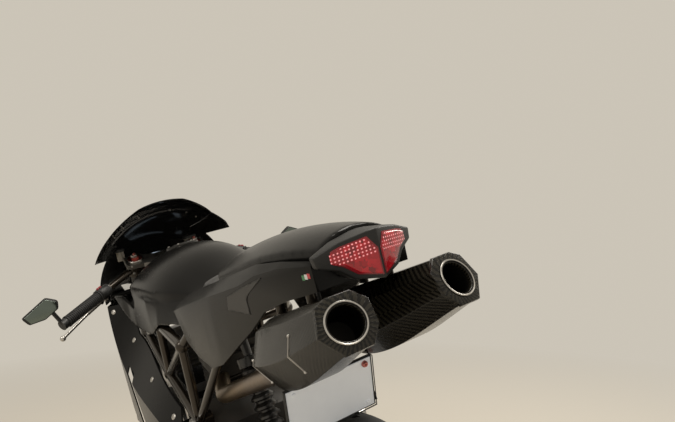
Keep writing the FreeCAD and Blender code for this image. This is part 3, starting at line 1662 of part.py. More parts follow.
def lamps():
    """Tail lamp: a black bezel on the tail's end, with two clusters of red lens."""
    body = new_body("LampHousing")
    level = deck_height(TAIL_END)
    loft("LampHousing", [
        (TAIL_END - 36, 80, level - 34, level, level + 20),
        (TAIL_END - 0.2, 88, level - 40, level - 2, level + 9),
    ], dome, body=body)
    keep(body, "tail_lamp_housing")
    lens = new_body("LampLens")
    outline = [(4, -31), (34, -27), (52, -13), (76, -6), (78, 4), (40, 14), (12, 16), (4, 6)]
    flat = sketch(lens, "LensOutline", "YZ_Plane", [(across, level + up) for across, up in outline],
                  offset=TAIL_END - 50)
    pad(lens, flat, 14)
    keep(pair("LampLenses", lens), "tail_lamp_lenses")


def rearsets():
    """Foot pegs on their hanger plates."""
    body = new_body("PegHanger")
    slab(body, "PegPlate", [(-112, 520), (-148, 548), (-196, 520), (-292, 420), (-280, 392), (-236, 394)], 169, 176)
    disc(body, "PegTube", [(-262, 410, 11)], 176, 262)
    boss = tube("PegBoss", LOWER[2], LOWER[2] + Vector(0, 24, 0), 13)
    left = off_frame("PegLeft", fuse("PegWhole", [body, boss]), "joint5 tube5 tube10 lug")
    keep(pair("Rearsets", left), "rearsets")


def hugger():
    """Guard over the front of the rear tyre, fixed to the arm."""
    body = new_body("Hugger")
    inside = size("rear_tyre_radius") + 10
    side = size("arm_inside")
    flat = sketch(body, "HuggerSection", "XY_Plane", [
        (inside + 3, -1 * side),
        (inside + 3, side + 3),
        (inside - 40, side + 3),
        (inside - 40, side),
        (inside, side),
        (inside, 3 - side),
        (inside - 20, 3 - side),
        (inside - 20, -1 * side),
    ])
    feature = body.newObject("PartDesign::Revolution", "HuggerTurn")
    feature.Profile = flat
    feature.ReferenceAxis = (origin_feature(body, "Y_Axis"), [""])
    feature.Angle = 52
    body.Placement = Placement(REAR_AXLE, Rotation(Vector(0, 1, 0), -78))
    tab = new_body("HuggerTab")
    low = [(REAR_AXLE.x + ahead, REAR_AXLE.z + 85) for ahead in (245, 215)]
    high = []
    for angle, reach in ((49, -16), (42, -5)):
        turned = math.radians(angle)
        far = float(inside) + reach
        high.append((REAR_AXLE.x + far * math.cos(turned), REAR_AXLE.z + far * math.sin(turned)))
    slab(tab, "HuggerTabPlate", low + high, side, side + 3)
    keep(cut("HuggerSeat", fuse("HuggerWhole", [body, tab]), [made["swingarm"]]), "rear_hugger")


def rear_caliper():
    """The rear caliper, bolted to the arm's hub inside the wheel."""
    body = caliper("RearCaliper", size("rear_disc_radius"), REAR_DISC_LOW, 82, 28, ARM_HUB_LOW, -62, -18)
    slab(body, "RearCaliperLug", sector(48, 100, -56, -24), REAR_DISC_LOW + 10.2, ARM_HUB_LOW)
    keep(body, "rear_caliper", REAR_WHEEL)


front_wheel()
rear_wheel()
fork_legs()
yokes()
clip_ons()
levers()
reservoirs()
mirrors()
front_mudguard()
front_calipers()
front_axle()
tank()
trellis_frame()
engine()
rear_arm()
shock()
chain()
tail()
side_panels()
nose()
silencer()
exhaust()
plate()
side_stand()
stand_bracket()
rear_subframe()
cowl_stay()
coolers()
panel_lugs()
lamps()
rearsets()
hugger()
rear_caliper()

doc.recompute()

box = FreeCAD.BoundBox()
for piece in nodes:
    box.add(piece.Shape.optimalBoundingBox(False, False))
SHIFT = Placement(Vector(-box.Center.x, -box.Center.y, -box.ZMin), Rotation())
for piece in nodes:
    piece.Placement = SHIFT.multiply(STANDING)
doc.recompute()

faults = []
for thing in doc.Objects:
    if "Invalid" in thing.State or "Error" in thing.State:
        faults.append("%s (%s) failed: %s" % (thing.Name, thing.Label, thing.State))
for piece in nodes:
    if piece.Shape.isNull() or not piece.Shape.isValid() or not piece.Shape.Solids:
        faults.append("%s has no valid solid" % piece.Label)
if faults:
    raise RuntimeError("; ".join(faults))

os.makedirs("parts", exist_ok=True)
for piece in nodes:
    piece.Shape.exportStep("parts/%s.step" % piece.Label)
print("%d pieces written" % len(nodes))
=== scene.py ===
"""A sport bike on its side stand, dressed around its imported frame.

Lengths are in metres and angles in degrees. New pieces are drawn upright, +X forward, +Y to the
rider's left and +Z up, with X = 0 midway between the axles and the ground at Z = 0, and are then
leaned onto the stand with the rest of the bike.
"""

import json
import math

import bmesh
import bpy
from mathutils import Matrix, Vector
from mathutils.bvhtree import BVHTree


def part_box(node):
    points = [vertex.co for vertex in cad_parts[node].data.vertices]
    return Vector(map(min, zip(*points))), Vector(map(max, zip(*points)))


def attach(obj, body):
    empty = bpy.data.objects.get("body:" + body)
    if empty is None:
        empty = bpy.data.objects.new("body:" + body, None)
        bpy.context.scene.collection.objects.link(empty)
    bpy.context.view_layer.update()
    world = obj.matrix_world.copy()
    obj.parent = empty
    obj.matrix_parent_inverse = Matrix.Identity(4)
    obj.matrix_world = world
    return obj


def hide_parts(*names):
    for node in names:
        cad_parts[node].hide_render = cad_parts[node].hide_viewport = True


bl_info = {
    "name": "Sport bike",
    "version": (1, 0, 0),
    "blender": (4, 5, 0),
    "location": "View3D > Sidebar > Sport bike",
    "description": "Finishes, fine pieces, light and camera for a sport bike built on its packed frame",
    "category": "Add Mesh",
}

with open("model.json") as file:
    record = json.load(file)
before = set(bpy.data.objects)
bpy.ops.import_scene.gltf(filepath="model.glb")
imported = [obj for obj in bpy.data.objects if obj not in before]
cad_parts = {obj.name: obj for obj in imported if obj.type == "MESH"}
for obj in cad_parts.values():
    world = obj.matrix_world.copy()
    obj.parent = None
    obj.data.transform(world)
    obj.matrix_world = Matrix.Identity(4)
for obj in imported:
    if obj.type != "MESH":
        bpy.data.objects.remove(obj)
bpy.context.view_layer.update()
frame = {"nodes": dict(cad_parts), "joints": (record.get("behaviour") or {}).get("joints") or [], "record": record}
JOINTS = {joint["name"]: joint for joint in frame["joints"]}


def joint_place(name):
    """A joint's point and direction at rest."""
    return Vector(JOINTS[name]["pos_m"]), Vector(JOINTS[name]["axis"]).normalized()


def box_size(node):
    """How large a node's box is."""
    low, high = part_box(node)
    return Vector(high) - Vector(low)


REAR_SPOT, ACROSS = joint_place("rear_wheel_spin")
FRONT_SPOT, _ = joint_place("front_wheel_spin")
WHEELBASE = FRONT_SPOT.x - REAR_SPOT.x
REAR_RADIUS = box_size("rear_tyre").x / 2
FRONT_RADIUS = box_size("front_tyre").x / 2
ALONG = Vector((1, 0, 0))
STANDING = Matrix((ALONG, ACROSS, ALONG.cross(ACROSS))).transposed().to_4x4()
STANDING.translation = REAR_SPOT - STANDING @ Vector((-WHEELBASE / 2, 0, REAR_RADIUS))
UPRIGHT = STANDING.inverted()
SIDES = ((1, "left"), (-1, "right"))


def upright(point):
    """A point of the leaning bike, in the upright frame that pieces are drawn in."""
    return UPRIGHT @ Vector(point)


# Settings that a user would change


def length(name, text, default):
    """A setting in metres."""
    return bpy.props.FloatProperty(name=name, description=text, default=default, unit="LENGTH")


def turn(name, text, degrees):
    """A setting that is an angle."""
    return bpy.props.FloatProperty(
        name=name, description=text, default=math.radians(degrees), subtype="ANGLE"
    )


def colour(name, text, default):
    """A setting that is a colour."""
    return bpy.props.FloatVectorProperty(
        name=name, description=text, default=default, subtype="COLOR", size=3, min=0, max=1
    )


class BikeSizes(bpy.types.PropertyGroup):
    """The floor, and where the camera stands and looks."""

    floor_reach: length("Floor reach", "Half the side of the floor", 30.0)
    camera_ahead: length("Camera ahead", "Lens ahead of the bike's middle", -1.6895)
    camera_left: length("Camera left", "Lens to the left of the bike's middle", 0.5037)
    camera_height: length("Camera height", "Lens above the floor", 0.9662)
    camera_yaw: turn("Camera yaw", "Way that it looks, from the bike's heading", -29.08)
    camera_pitch: turn("Camera pitch", "How far it looks up", 2.03)
    camera_roll: turn("Camera roll", "Turn about its own view", -0.72)
    camera_lens: bpy.props.FloatProperty(
        name="Focal length", description="On a sensor 36 mm wide", default=31.8, min=10
    )


class BikeColours(bpy.types.PropertyGroup):
    """Colours of the finishes, as linear values."""

    backdrop: colour("Backdrop", "The pale floor and the world behind", (0.60, 0.555, 0.475))
    paint: colour("Paint", "Satin black of the bodywork", (0.0042, 0.0040, 0.0037))
    screen: colour("Screen", "Smoked acrylic", (0.0030, 0.0030, 0.0030))
    frame: colour("Frame", "Bronze black of the trellis", (0.034, 0.026, 0.018))
    alloy: colour("Alloy", "Machined aluminium", (0.46, 0.45, 0.43))
    casting: colour("Casting", "Cast engine cases", (0.045, 0.043, 0.040))
    steel: colour("Steel", "Bright steel", (0.55, 0.53, 0.50))
    exhaust: colour("Exhaust", "Heated stainless pipe", (0.20, 0.17, 0.13))
    anodised: colour("Anodised", "Pale red fork caps", (0.48, 0.17, 0.15))
    rubber: colour("Rubber", "Tyres and grips", (0.009, 0.009, 0.009))
    plastic: colour("Plastic", "Moulded black parts", (0.005, 0.005, 0.005))
    lamp: colour("Lamp", "Red tail lamp", (0.50, 0.004, 0.014))
    plate: colour("Plate", "Blank number plate", (0.80, 0.82, 0.84))
    spring: colour("Spring", "Shock spring", (0.016, 0.015, 0.014))


# Materials


class Wire:
    """One socket of a material, on which Python's arithmetic adds Math nodes."""

    def __init__(self, finish, socket):
        self.finish = finish
        self.socket = socket

    def maths(self, operation, *values):
        return self.finish.node("ShaderNodeMath", {"operation": operation}, dict(enumerate(values)))

    def __add__(self, other):
        return self.maths("ADD", self, other)

    __radd__ = __add__

    def __sub__(self, other):
        return self.maths("SUBTRACT", self, other)

    def __rsub__(self, other):
        return self.maths("SUBTRACT", other, self)

    def __mul__(self, other):
        return self.maths("MULTIPLY", self, other)

    __rmul__ = __mul__

    def __truediv__(self, other):
        return self.maths("DIVIDE", self, other)

    def __pow__(self, other):
        return self.maths("POWER", self, other)

    def __gt__(self, other):
        return self.maths("GREATER_THAN", self, other)

    def fraction(self):
        return self.maths("FRACT", self)

    def sine(self):
        return self.maths("SINE", self)

    def size(self):
        return self.maths("ABSOLUTE", self)


class Finish:
    """The nodes of a material or a world, built up one at a time."""

    def __init__(self, name, world=None):
        self.material = world or bpy.data.materials.new(name)
        self.material.use_nodes = True
        self.nodes = self.material.node_tree.nodes
        self.links = self.material.node_tree.links
        self.nodes.clear()

    def node(self, kind, settings=None, sockets=None, out=0):
        """Adds a node with its settings, then fills or links its sockets, and gives one output."""
        made = self.nodes.new(kind)
        for key, value in (settings or {}).items():
            if key == "stops":
                self.fill_ramp(made.color_ramp, value)
            else:
                setattr(made, key, value)
        for key, value in (sockets or {}).items():
            if isinstance(value, Wire):
                self.links.new(value.socket, made.inputs[key])
            else:
                made.inputs[key].default_value = value
        return Wire(self, made.outputs[out]) if len(made.outputs) else None

    def fill_ramp(self, ramp, stops):
        """Gives a ramp its stops, each a place and a grey or a colour."""
        while len(ramp.elements) < len(stops):
            ramp.elements.new(1.0)
        for element, (place, shade) in zip(ramp.elements, stops):
            element.position = place
            element.color = (shade,) * 3 + (1,) if isinstance(shade, (int, float)) else (*shade, 1)

    def place(self, scale=(1, 1, 1), turn=(0, 0, 0), shift=(0, 0, 0)):
        """The point on the surface, in the bike's own coordinates, stretched, turned and moved."""
        point = self.node("ShaderNodeTexCoord", out="Object")
        return self.node(
            "ShaderNodeMapping",
            {"vector_type": "POINT"},
            {"Vector": point, "Scale": scale, "Rotation": turn, "Location": shift},
        )

    def upright_place(self):
        """The point on the surface in the upright frame."""
        return self.place(turn=UPRIGHT.to_euler(), shift=UPRIGHT.translation)

    def noise(self, scale, detail=3.0, rough=0.55, place=None):
        """Cloudy noise from 0 to 1, so many cells to a metre."""
        return self.node(
            "ShaderNodeTexNoise",
            {},
            {"Vector": place or self.place(), "Scale": scale, "Detail": detail, "Roughness": rough},
        )

    def cells(self, scale, out="Distance", **settings):
        """Small cells, so many to a metre."""
        sockets = {"Vector": self.place(), "Scale": scale}
        return self.node("ShaderNodeTexVoronoi", settings, sockets, out)

    def clouded(self, base, scale, detail, low, high):
        """A colour with darker and lighter clouds in it, and the clouds themselves."""
        clouds = self.noise(scale, detail)
        return self.mix(clouds, tint(base, low), tint(base, high)), clouds

    def seen(self):
        """1 where the camera, a gloss or a glass looks, 0 for the light that falls on things."""
        rays = self.nodes.new("ShaderNodeLightPath")
        camera, gloss, glass = (
            Wire(self, rays.outputs["Is %s Ray" % word]) for word in ("Camera", "Glossy", "Transmission")
        )
        return camera.maths("MAXIMUM", camera, camera.maths("MAXIMUM", gloss, glass))

    def ramp(self, value, stops):
        """A grey or a colour picked along a row of stops."""
        return self.node("ShaderNodeValToRGB", {"stops": stops}, {"Fac": value})

    def mix(self, share, first, second):
        """One colour turning to another."""
        first, second = (
            value if isinstance(value, Wire) else (*value, 1)[:4] for value in (first, second)
        )
        return self.node(
            "ShaderNodeMix", {"data_type": "RGBA"}, {"Factor": share, 6: first, 7: second}, out=2
        )

    def bump(self, height, depth):
        """A normal that follows a height, which goes from 0 to 1 over so many metres."""
        return self.node("ShaderNodeBump", {}, {"Height": height, "Distance": depth, "Strength": 1.0})

    def parts(self, vector):
        """The three numbers of a vector."""
        split = self.nodes.new("ShaderNodeSeparateXYZ")
        self.links.new(vector.socket, split.inputs[0])
        return [Wire(self, output) for output in split.outputs]

    def surface(self, **sockets):
        """Ends the material in one shader. A socket's name is written with low dashes."""
        named = {}
        for key, value in sockets.items():
            word = key.replace("_", " ").title().replace("Ior", "IOR")
            named[word] = (*value, 1) if hasattr(value, "__len__") and len(value) == 3 else value
        shader = self.node("ShaderNodeBsdfPrincipled", {}, named)
        self.node("ShaderNodeOutputMaterial", {}, {"Surface": shader})
        return self.material


def tint(base, factor):
    """A colour made lighter or darker."""
    return tuple(min(1.0, channel * factor) for channel in base)


def satin_paint(colours):
    """Satin black paint with fine orange peel, faint dust and soft rubbed patches."""
    finish = Finish("satin_paint")
    clouds = finish.noise(9.0, 4.0)
    rubbed = finish.ramp(clouds, [(0.35, 0.0), (0.75, 1.0)])
    return finish.surface(
        base_color=finish.mix(rubbed, colours.paint, tint(colours.paint, 1.5)),
        roughness=0.21 + finish.noise(38.0, 5.0) * 0.06 + clouds * 0.04,
        specular_ior_level=0.17,
        normal=finish.bump(finish.noise(900.0, 2.0), 0.00004),
    )


def smoked_acrylic(colours):
    """Near-black acrylic that lets a little light through."""
    finish = Finish("smoked_acrylic")
    rough = 0.06 + finish.noise(30.0, 4.0) * 0.05
    return finish.surface(
        base_color=colours.screen, roughness=rough, alpha=0.965, specular_ior_level=0.22
    )


def metal(name, base, rough, grain_scale, grain_depth, stretch=(1, 1, 1), coat=0.0):
    """Bare or anodised metal with machining grain and slight stains."""
    finish = Finish(name)
    grain = finish.noise(grain_scale, 3.0, 0.6, finish.place(scale=stretch))
    shade, stains = finish.clouded(base, 14.0, 5.0, 0.78, 1.12)
    return finish.surface(
        base_color=shade,
        roughness=rough + grain * 0.14 + stains * 0.08,
        metallic=1.0,
        coat_weight=coat,
        coat_roughness=0.1,
        normal=finish.bump(grain, grain_depth),
    )


def bronze_frame(colours):
    """Glossy bronze-black lacquer on steel tube."""
    finish = Finish("bronze_frame")
    shade, clouds = finish.clouded(colours.frame, 22.0, 4.0, 0.75, 1.25)
    return finish.surface(
        base_color=shade,
        metallic=0.7,
        roughness=0.17 + clouds * 0.10,
        coat_weight=0.35,
        coat_roughness=0.08,
        normal=finish.bump(finish.noise(700.0), 0.00004),
    )


def cast_metal(colours):
    """Sand-cast cases under grey-black paint, with a little road dirt."""
    finish = Finish("cast_metal")
    dirt = finish.ramp(finish.noise(17.0, 6.0), [(0.42, 0.0), (0.78, 1.0)])
    return finish.surface(
        base_color=finish.mix(dirt, colours.casting, (0.050, 0.041, 0.031)),
        metallic=0.55,
        roughness=0.48 + dirt * 0.2,
        normal=finish.bump(finish.noise(520.0, 3.0, 0.7), 0.00035),
    )


def exhaust_metal(colours):
    """Stainless pipe, straw and blue where it has been hot."""
    finish = Finish("exhaust_metal")
    along = finish.parts(finish.place())[0]
    heat = finish.noise(9.0, 3.0) * 0.35 + (along * 0.8 + 0.45)
    tempers = [
        (0.0, (0.20, 0.19, 0.21)), (0.35, (0.30, 0.22, 0.14)), (0.62, (0.40, 0.33, 0.24)),
        (1, (0.24, 0.22, 0.25)),
    ]
    return finish.surface(
        base_color=finish.ramp(heat, tempers),
        metallic=1.0,
        roughness=0.24 + finish.noise(60.0, 5.0) * 0.2,
        normal=finish.bump(finish.noise(300.0), 0.00008),
    )


def rubber(name, base, grain_scale=260.0, depth=0.00025):
    """Matt black rubber."""
    finish = Finish(name)
    grain = finish.noise(grain_scale, 4.0, 0.65)
    dust = finish.ramp(finish.noise(11.0, 5.0), [(0.4, 0.0), (0.9, 1.0)])
    return finish.surface(
        base_color=finish.mix(dust, base, tint(base, 2.4)), roughness=0.62 + grain * 0.2,
        normal=finish.bump(grain, depth),
    )


def moulded_plastic(colours):
    """Grained black plastic."""
    finish = Finish("moulded_plastic")
    return finish.surface(
        base_color=finish.clouded(colours.plastic, 20.0, 4.0, 1.0, 1.8)[0],
        roughness=0.42 + finish.noise(60.0) * 0.15,
        normal=finish.bump(finish.cells(1300.0), 0.0001),
    )


def weave(finish, around, along, pitch):
    """A two-by-two twill: its height, and which of the two yarn directions shows."""
    u = around / pitch
    v = along / pitch
    step = (v - v.fraction()) + (u - u.fraction())
    over = (step / 4).fraction() > 0.49
    yarn_u = ((u.fraction() - 0.5).size() * math.pi).sine()
    yarn_v = ((v.fraction() - 0.5).size() * math.pi).sine()
    height = over * (1 - yarn_u) + (1 - over) * (1 - yarn_v)
    return height, over


def carbon_fibre():
    """Twill carbon under clear lacquer, wrapped round the silencers."""
    finish = Finish("carbon_fibre")
    x, y, z = finish.parts(finish.upright_place())
    above = z - (0.541 - x * 0.352)
    around = above.maths("ARCTAN2", above, y.size() - 0.095) * 0.062
    height, over = weave(finish, around, x * 1.06, 0.0030)
    return finish.surface(
        base_color=finish.mix(over, (0.0045, 0.0040, 0.0030), (0.024, 0.021, 0.015)),
        roughness=0.20 + finish.noise(12.0, 4.0) * 0.08,
        specular_ior_level=0.22,
        coat_weight=0.22,
        coat_roughness=0.06,
        normal=finish.bump(height, 0.00012),
    )


def red_lens(colours):
    """Deep red lamp plastic: rows of diodes above that carry pale painted highlights, which also glow, and plain
    facets below.
    """
    finish = Finish("red_lens")
    _, y, z = finish.parts(finish.upright_place())
    pitch = 0.0054
    level = z + y.size() * 0.12
    across = ((y / pitch).fraction() - 0.5).size()
    up = ((level / pitch).fraction() - 0.5).size()
    dot = finish.ramp((across * across + up * up) ** 0.5, [(0.10, 1.0), (0.30, 0.0)])
    # The pale pink spots on the upper rows are painted highlights on the diodes. The emission makes them glow
    # brightest, and the rest of the lens glows faintly red.
    glow = dot * (level > 0.9665)
    chips = finish.parts(finish.cells(120.0, "Color", distance="CHEBYCHEV"))[0]
    dull = finish.mix(chips, tint(colours.lamp, 0.16), tint(colours.lamp, 1.1))
    return finish.surface(
        base_color=finish.mix(glow, dull, (1.0, 0.42, 0.44)),
        roughness=0.10,
        coat_weight=0.6,
        coat_roughness=0.03,
        emission_color=finish.mix(glow, tint(colours.lamp, 0.30), (1.0, 0.30, 0.32)),
        emission_strength=0.55,
        normal=finish.bump(chips, 0.0006),
    )


def clear_plastic(name, base, alpha):
    """Clear moulded plastic."""
    finish = Finish(name)
    rough = 0.08 + finish.noise(50.0, 3.0) * 0.08
    return finish.surface(base_color=base, roughness=rough, alpha=alpha, coat_weight=0.5)


def seat_cover():
    """Black vinyl with a pebbled grain."""
    finish = Finish("seat_cover")
    clouds = finish.noise(13.0, 4.0)
    return finish.surface(
        base_color=finish.mix(clouds, (0.010, 0.010, 0.0095), (0.020, 0.019, 0.018)),
        roughness=0.50 + clouds * 0.12,
        sheen_weight=0.1,
        normal=finish.bump(finish.cells(620.0), 0.00025),
    )


def plate_paint_painted_glow(colours):
    """White plate sheet, faintly marked, with a faint painted glow."""
    finish = Finish("plate_paint_painted_glow")
    shade, marks = finish.clouded(colours.plate, 45.0, 5.0, 0.93, 1.0)
    return finish.surface(
        # The emission is painted light: the plate, and the screws that share its finish, glow faintly though they
        # are no lamp.
        base_color=shade, roughness=0.35 + marks * 0.1, emission_color=shade, emission_strength=0.16
    )


def lacquer(name, base, rough=0.3):
    """Glossy painted metal."""
    finish = Finish(name)
    shade, clouds = finish.clouded(base, 24.0, 4.0, 0.85, 1.15)
    return finish.surface(
        base_color=shade, roughness=rough + clouds * 0.08, coat_weight=0.4, coat_roughness=0.1
    )


def lit_display():
    """A pale display that shines a little."""
    finish = Finish("lit_display")
    shade = finish.mix(finish.noise(26.0, 2.0), (0.52, 0.66, 0.80), (0.74, 0.84, 0.92))
    return finish.surface(base_color=shade, roughness=0.2, emission_color=shade, emission_strength=0.5)


def wire_mesh():
    """Black woven wire, with painted shade in the holes between."""
    finish = Finish("wire_mesh")
    x, _, z = finish.parts(finish.place())
    pitch = 0.0042
    one, other = (
        (((x + way) / pitch).fraction() - 0.5).size() > 0.32 for way in (z, z * -1)
    )
    wire = one.maths("MAXIMUM", one, other)
    # The near-black between the wires is painted shade, standing in for the open holes of the vent.
    shade = finish.mix(wire, (0.003, 0.003, 0.003), (0.045, 0.042, 0.038))
    return finish.surface(base_color=shade, roughness=0.45, normal=finish.bump(wire, 0.0006))


MATERIALS = {}


def make_materials(colours):
    """Every finish, under the name of the slot that it belongs to."""
    milled = (0.4, 0.4, 6.0)
    MATERIALS.update(
        satin_black=satin_paint(colours),
        smoked_screen=smoked_acrylic(colours),
        frame_bronze=bronze_frame(colours),
        cast_engine=cast_metal(colours),
        machined_alloy=metal("machined_alloy", colours.alloy, 0.26, 220.0, 0.00006, milled),
        fork_anodised=metal("fork_anodised", colours.anodised, 0.24, 160.0, 0.00004),
        fork_gold=metal("fork_black", (0.035, 0.034, 0.033), 0.22, 120.0, 0.00003, coat=0.4),
        bright_steel=metal("bright_steel", colours.steel, 0.20, 260.0, 0.00005),
        caliper_alloy=metal("caliper_alloy", (0.16, 0.155, 0.15), 0.34, 400.0, 0.00012),
        wheel_paint=lacquer("wheel_paint", (0.016, 0.016, 0.016), 0.34),
        tyre_rubber=rubber("tyre_rubber", tuple(colours.rubber)),
        grip_rubber=rubber("grip_rubber", tint(colours.rubber, 0.8), 500.0, 0.00012),
        carbon_can=carbon_fibre(),
        exhaust_steel=exhaust_metal(colours),
        black_plastic=moulded_plastic(colours),
        lamp_red=red_lens(colours),
        lamp_clear=clear_plastic("lamp_clear", (0.85, 0.86, 0.88), 0.18),
        reservoir_clear=clear_plastic("reservoir_clear", (0.30, 0.27, 0.22), 0.75),
        seat_cover=seat_cover(),
        plate_white=plate_paint_painted_glow(colours),
        shock_red=lacquer("shock_red", tuple(colours.spring)),
        mirror_glass=metal("mirror_glass", (0.16, 0.19, 0.17), 0.02, 20.0, 0.000001),
        display=lit_display(),
        stand_steel=metal("stand_steel", (0.03, 0.03, 0.03), 0.38, 300.0, 0.0001),
        chain_steel=metal("chain_steel", (0.16, 0.14, 0.11), 0.30, 300.0, 0.00005),
        disc_steel=metal("disc_steel", (0.33, 0.32, 0.31), 0.24, 90.0, 0.00004),
        lamp_rim=lacquer("lamp_rim", (0.28, 0.01, 0.02), 0.15),
        outlet_black=metal("outlet_black", (0.030, 0.028, 0.026), 0.42, 300.0, 0.00006),
        sticker_green=lacquer("sticker_green", (0.02, 0.20, 0.06)),
        sticker_white=lacquer("sticker_white", (0.75, 0.75, 0.72)),
        sticker_red=lacquer("sticker_red", (0.55, 0.02, 0.03)),
        vent_mesh=wire_mesh(),
    )


def give(piece, material):
    """A piece's one material."""
    piece.data.materials.clear()
    piece.data.materials.append(material)


# Modelling


def select_only(*things):
    """Selects these objects and nothing else."""
    bpy.ops.object.select_all(action="DESELECT")
    for thing in things:
        thing.select_set(True)
    bpy.context.view_layer.objects.active = things[0]


def edit(piece):
    """Opens a piece in edit mode with all of it selected."""
    select_only(piece)
    bpy.ops.object.mode_set(mode="EDIT")
    bpy.ops.mesh.select_all(action="SELECT")


def close():
    """Points every face outwards and leaves edit mode."""
    bpy.ops.mesh.select_all(action="SELECT")
    bpy.ops.mesh.normals_make_consistent(inside=False)
    bpy.ops.object.mode_set(mode="OBJECT")


def bake(piece):
    """Puts an object's place into its mesh."""
    select_only(piece)
    bpy.ops.object.transform_apply(location=True, rotation=True, scale=True)


def lathe(rings, sides=32, hollow=False):
    """A round solid about z, through rings of (radius, height). A hollow one ends where it starts."""
    bpy.ops.object.select_all(action="DESELECT")
    radius, height = rings[0]
    if hollow:
        rings = [*rings, rings[0]]
    lid = "NOTHING" if hollow else "NGON"
    bpy.ops.mesh.primitive_circle_add(
        vertices=sides, radius=radius, fill_type=lid, location=(0, 0, height)
    )
    piece = bpy.context.object
    bake(piece)
    edit(piece)
    for (before, low), (after, high) in zip(rings, rings[1:]):
        bpy.ops.mesh.extrude_region_move(TRANSFORM_OT_translate={"value": (0, 0, high - low)})
        share = after / before
        bpy.ops.transform.resize(value=(share, share, 1), center_override=(0, 0, high))
    if hollow:
        bpy.ops.mesh.select_all(action="SELECT")
        bpy.ops.mesh.remove_doubles(threshold=0.000005)
    close()
    return piece


def outline_of(points, fill="NGON"):
    """A closed outline in x and y, with or without a face in it."""
    bpy.ops.object.select_all(action="DESELECT")
    bpy.ops.mesh.primitive_circle_add(vertices=len(points), fill_type=fill)
    piece = bpy.context.object
    for vertex, (x, y) in zip(piece.data.vertices, points):
        vertex.co = (x, y, 0)
    return piece


def plate_of(outline, thickness):
    """A flat plate with its outline in x and y, pushed up along z."""
    piece = outline_of(outline)
    edit(piece)
    bpy.ops.mesh.extrude_region_move(TRANSFORM_OT_translate={"value": (0, 0, thickness)})
    close()
    return piece


def aimed(start, direction):
    """A place at a point, whose z axis looks in a direction."""
    turn = Vector(direction).to_track_quat("Z", "Y").to_matrix().to_4x4()
    return Matrix.Translation(start) @ turn


def modify(piece, kind, **settings):
    """Adds a modifier and applies it."""
    select_only(piece)
    change = piece.modifiers.new(kind.title(), kind)
    for key, value in settings.items():
        setattr(change, key, value)
    bpy.ops.object.modifier_apply(modifier=change.name)
    return piece


def round_edges(piece, width, steps=2, angle=35):
    """Bevels the edges that turn more than an angle."""
    return modify(piece, "BEVEL", width=width, segments=steps, limit_method="ANGLE",
                  angle_limit=math.radians(angle), harden_normals=False)


def smoothed(piece, voxel, rounds):
    """Makes a piece's mesh even and rounds it off."""
    modify(piece, "REMESH", mode="VOXEL", voxel_size=voxel, adaptivity=0.0)
    return modify(piece, "SMOOTH", factor=0.5, iterations=rounds)


def joined(pieces):
    """Several objects made one."""
    select_only(*pieces)
    if len(pieces) > 1:
        bpy.ops.object.join()
    return bpy.context.object


def repeated(piece, places):
    """Copies of one piece at several places, as one object."""
    twins = []
    for place in places:
        twin = piece.copy()
        twin.data = piece.data.copy()
        bpy.context.scene.collection.objects.link(twin)
        twin.matrix_world = place @ piece.matrix_world
        bake(twin)
        twins.append(twin)
    bpy.data.objects.remove(piece)
    whole = joined(twins)
    edit(whole)
    close()
    return whole


def finished(piece, name, material, body="chassis", place=Matrix(), angle=35):
    """Names a piece drawn upright, leans it with the bike and lets it ride on a body."""
    piece.matrix_world = STANDING @ place @ piece.matrix_world
    bake(piece)
    bpy.ops.object.shade_smooth_by_angle(angle=math.radians(angle))
    piece.name = piece.data.name = name
    give(piece, MATERIALS[material])
    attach(piece, body)
    return piece


def fitted(piece, places, name, material, body="chassis", angle=35):
    """Copies of one piece at several places, finished as one object."""
    return finished(repeated(piece, places), name, material, body, angle=angle)


def copy_of(node):
    """A node of the frame, copied upright, with its loose triangles merged."""
    source = frame["nodes"][node]
    twin = bpy.data.objects.new(node + "_copy", source.data.copy())
    bpy.context.scene.collection.objects.link(twin)
    twin.matrix_world = UPRIGHT @ source.matrix_world
    bake(twin)
    edit(twin)
    bpy.ops.mesh.remove_doubles(threshold=0.00002)
    bpy.ops.mesh.dissolve_limited(angle_limit=math.radians(1.0))
    bpy.ops.object.mode_set(mode="OBJECT")
    return twin


def pick_faces(piece, wanted, mode="VERT"):
    """Opens a piece in edit mode with only those faces selected that pass a test."""
    edit(piece)
    bpy.ops.mesh.select_mode(type=mode)
    bpy.ops.mesh.select_all(action="DESELECT")
    mesh = bmesh.from_edit_mesh(piece.data)
    for face in mesh.faces:
        face.select = wanted(face)
    bmesh.update_edit_mesh(piece.data)


SURFACES = {}


def landing(node, start, direction):
    """Where a line from an upright point meets a node, and the way its surface faces there."""
    if node not in SURFACES:
        mesh = frame["nodes"][node].data
        points = [UPRIGHT @ frame["nodes"][node].matrix_world @ vertex.co for vertex in mesh.vertices]
        SURFACES[node] = BVHTree.FromPolygons(points, [face.vertices[:] for face in mesh.polygons])
    spot, facing, _, _ = SURFACES[node].ray_cast(Vector(start), Vector(direction).normalized())
    if spot is None:
        raise RuntimeError("no surface of %s met from %s" % (node, tuple(start)))
    return spot, -facing if facing.dot(Vector(direction)) > 0 else facing


def side_landing(node, side, x, z):
    """A place on a node where a line from one side of the bike meets it."""
    spot, facing = landing(node, (x, side * 0.4, z), (0, -side, 0))
    return aimed(spot, facing)


def slice_off(piece, spot, facing, fill=False):
    """Takes away what lies beyond a plane."""
    edit(piece)
    bpy.ops.mesh.bisect(plane_co=spot, plane_no=facing, use_fill=fill, clear_outer=True)
    bpy.ops.object.mode_set(mode="OBJECT")


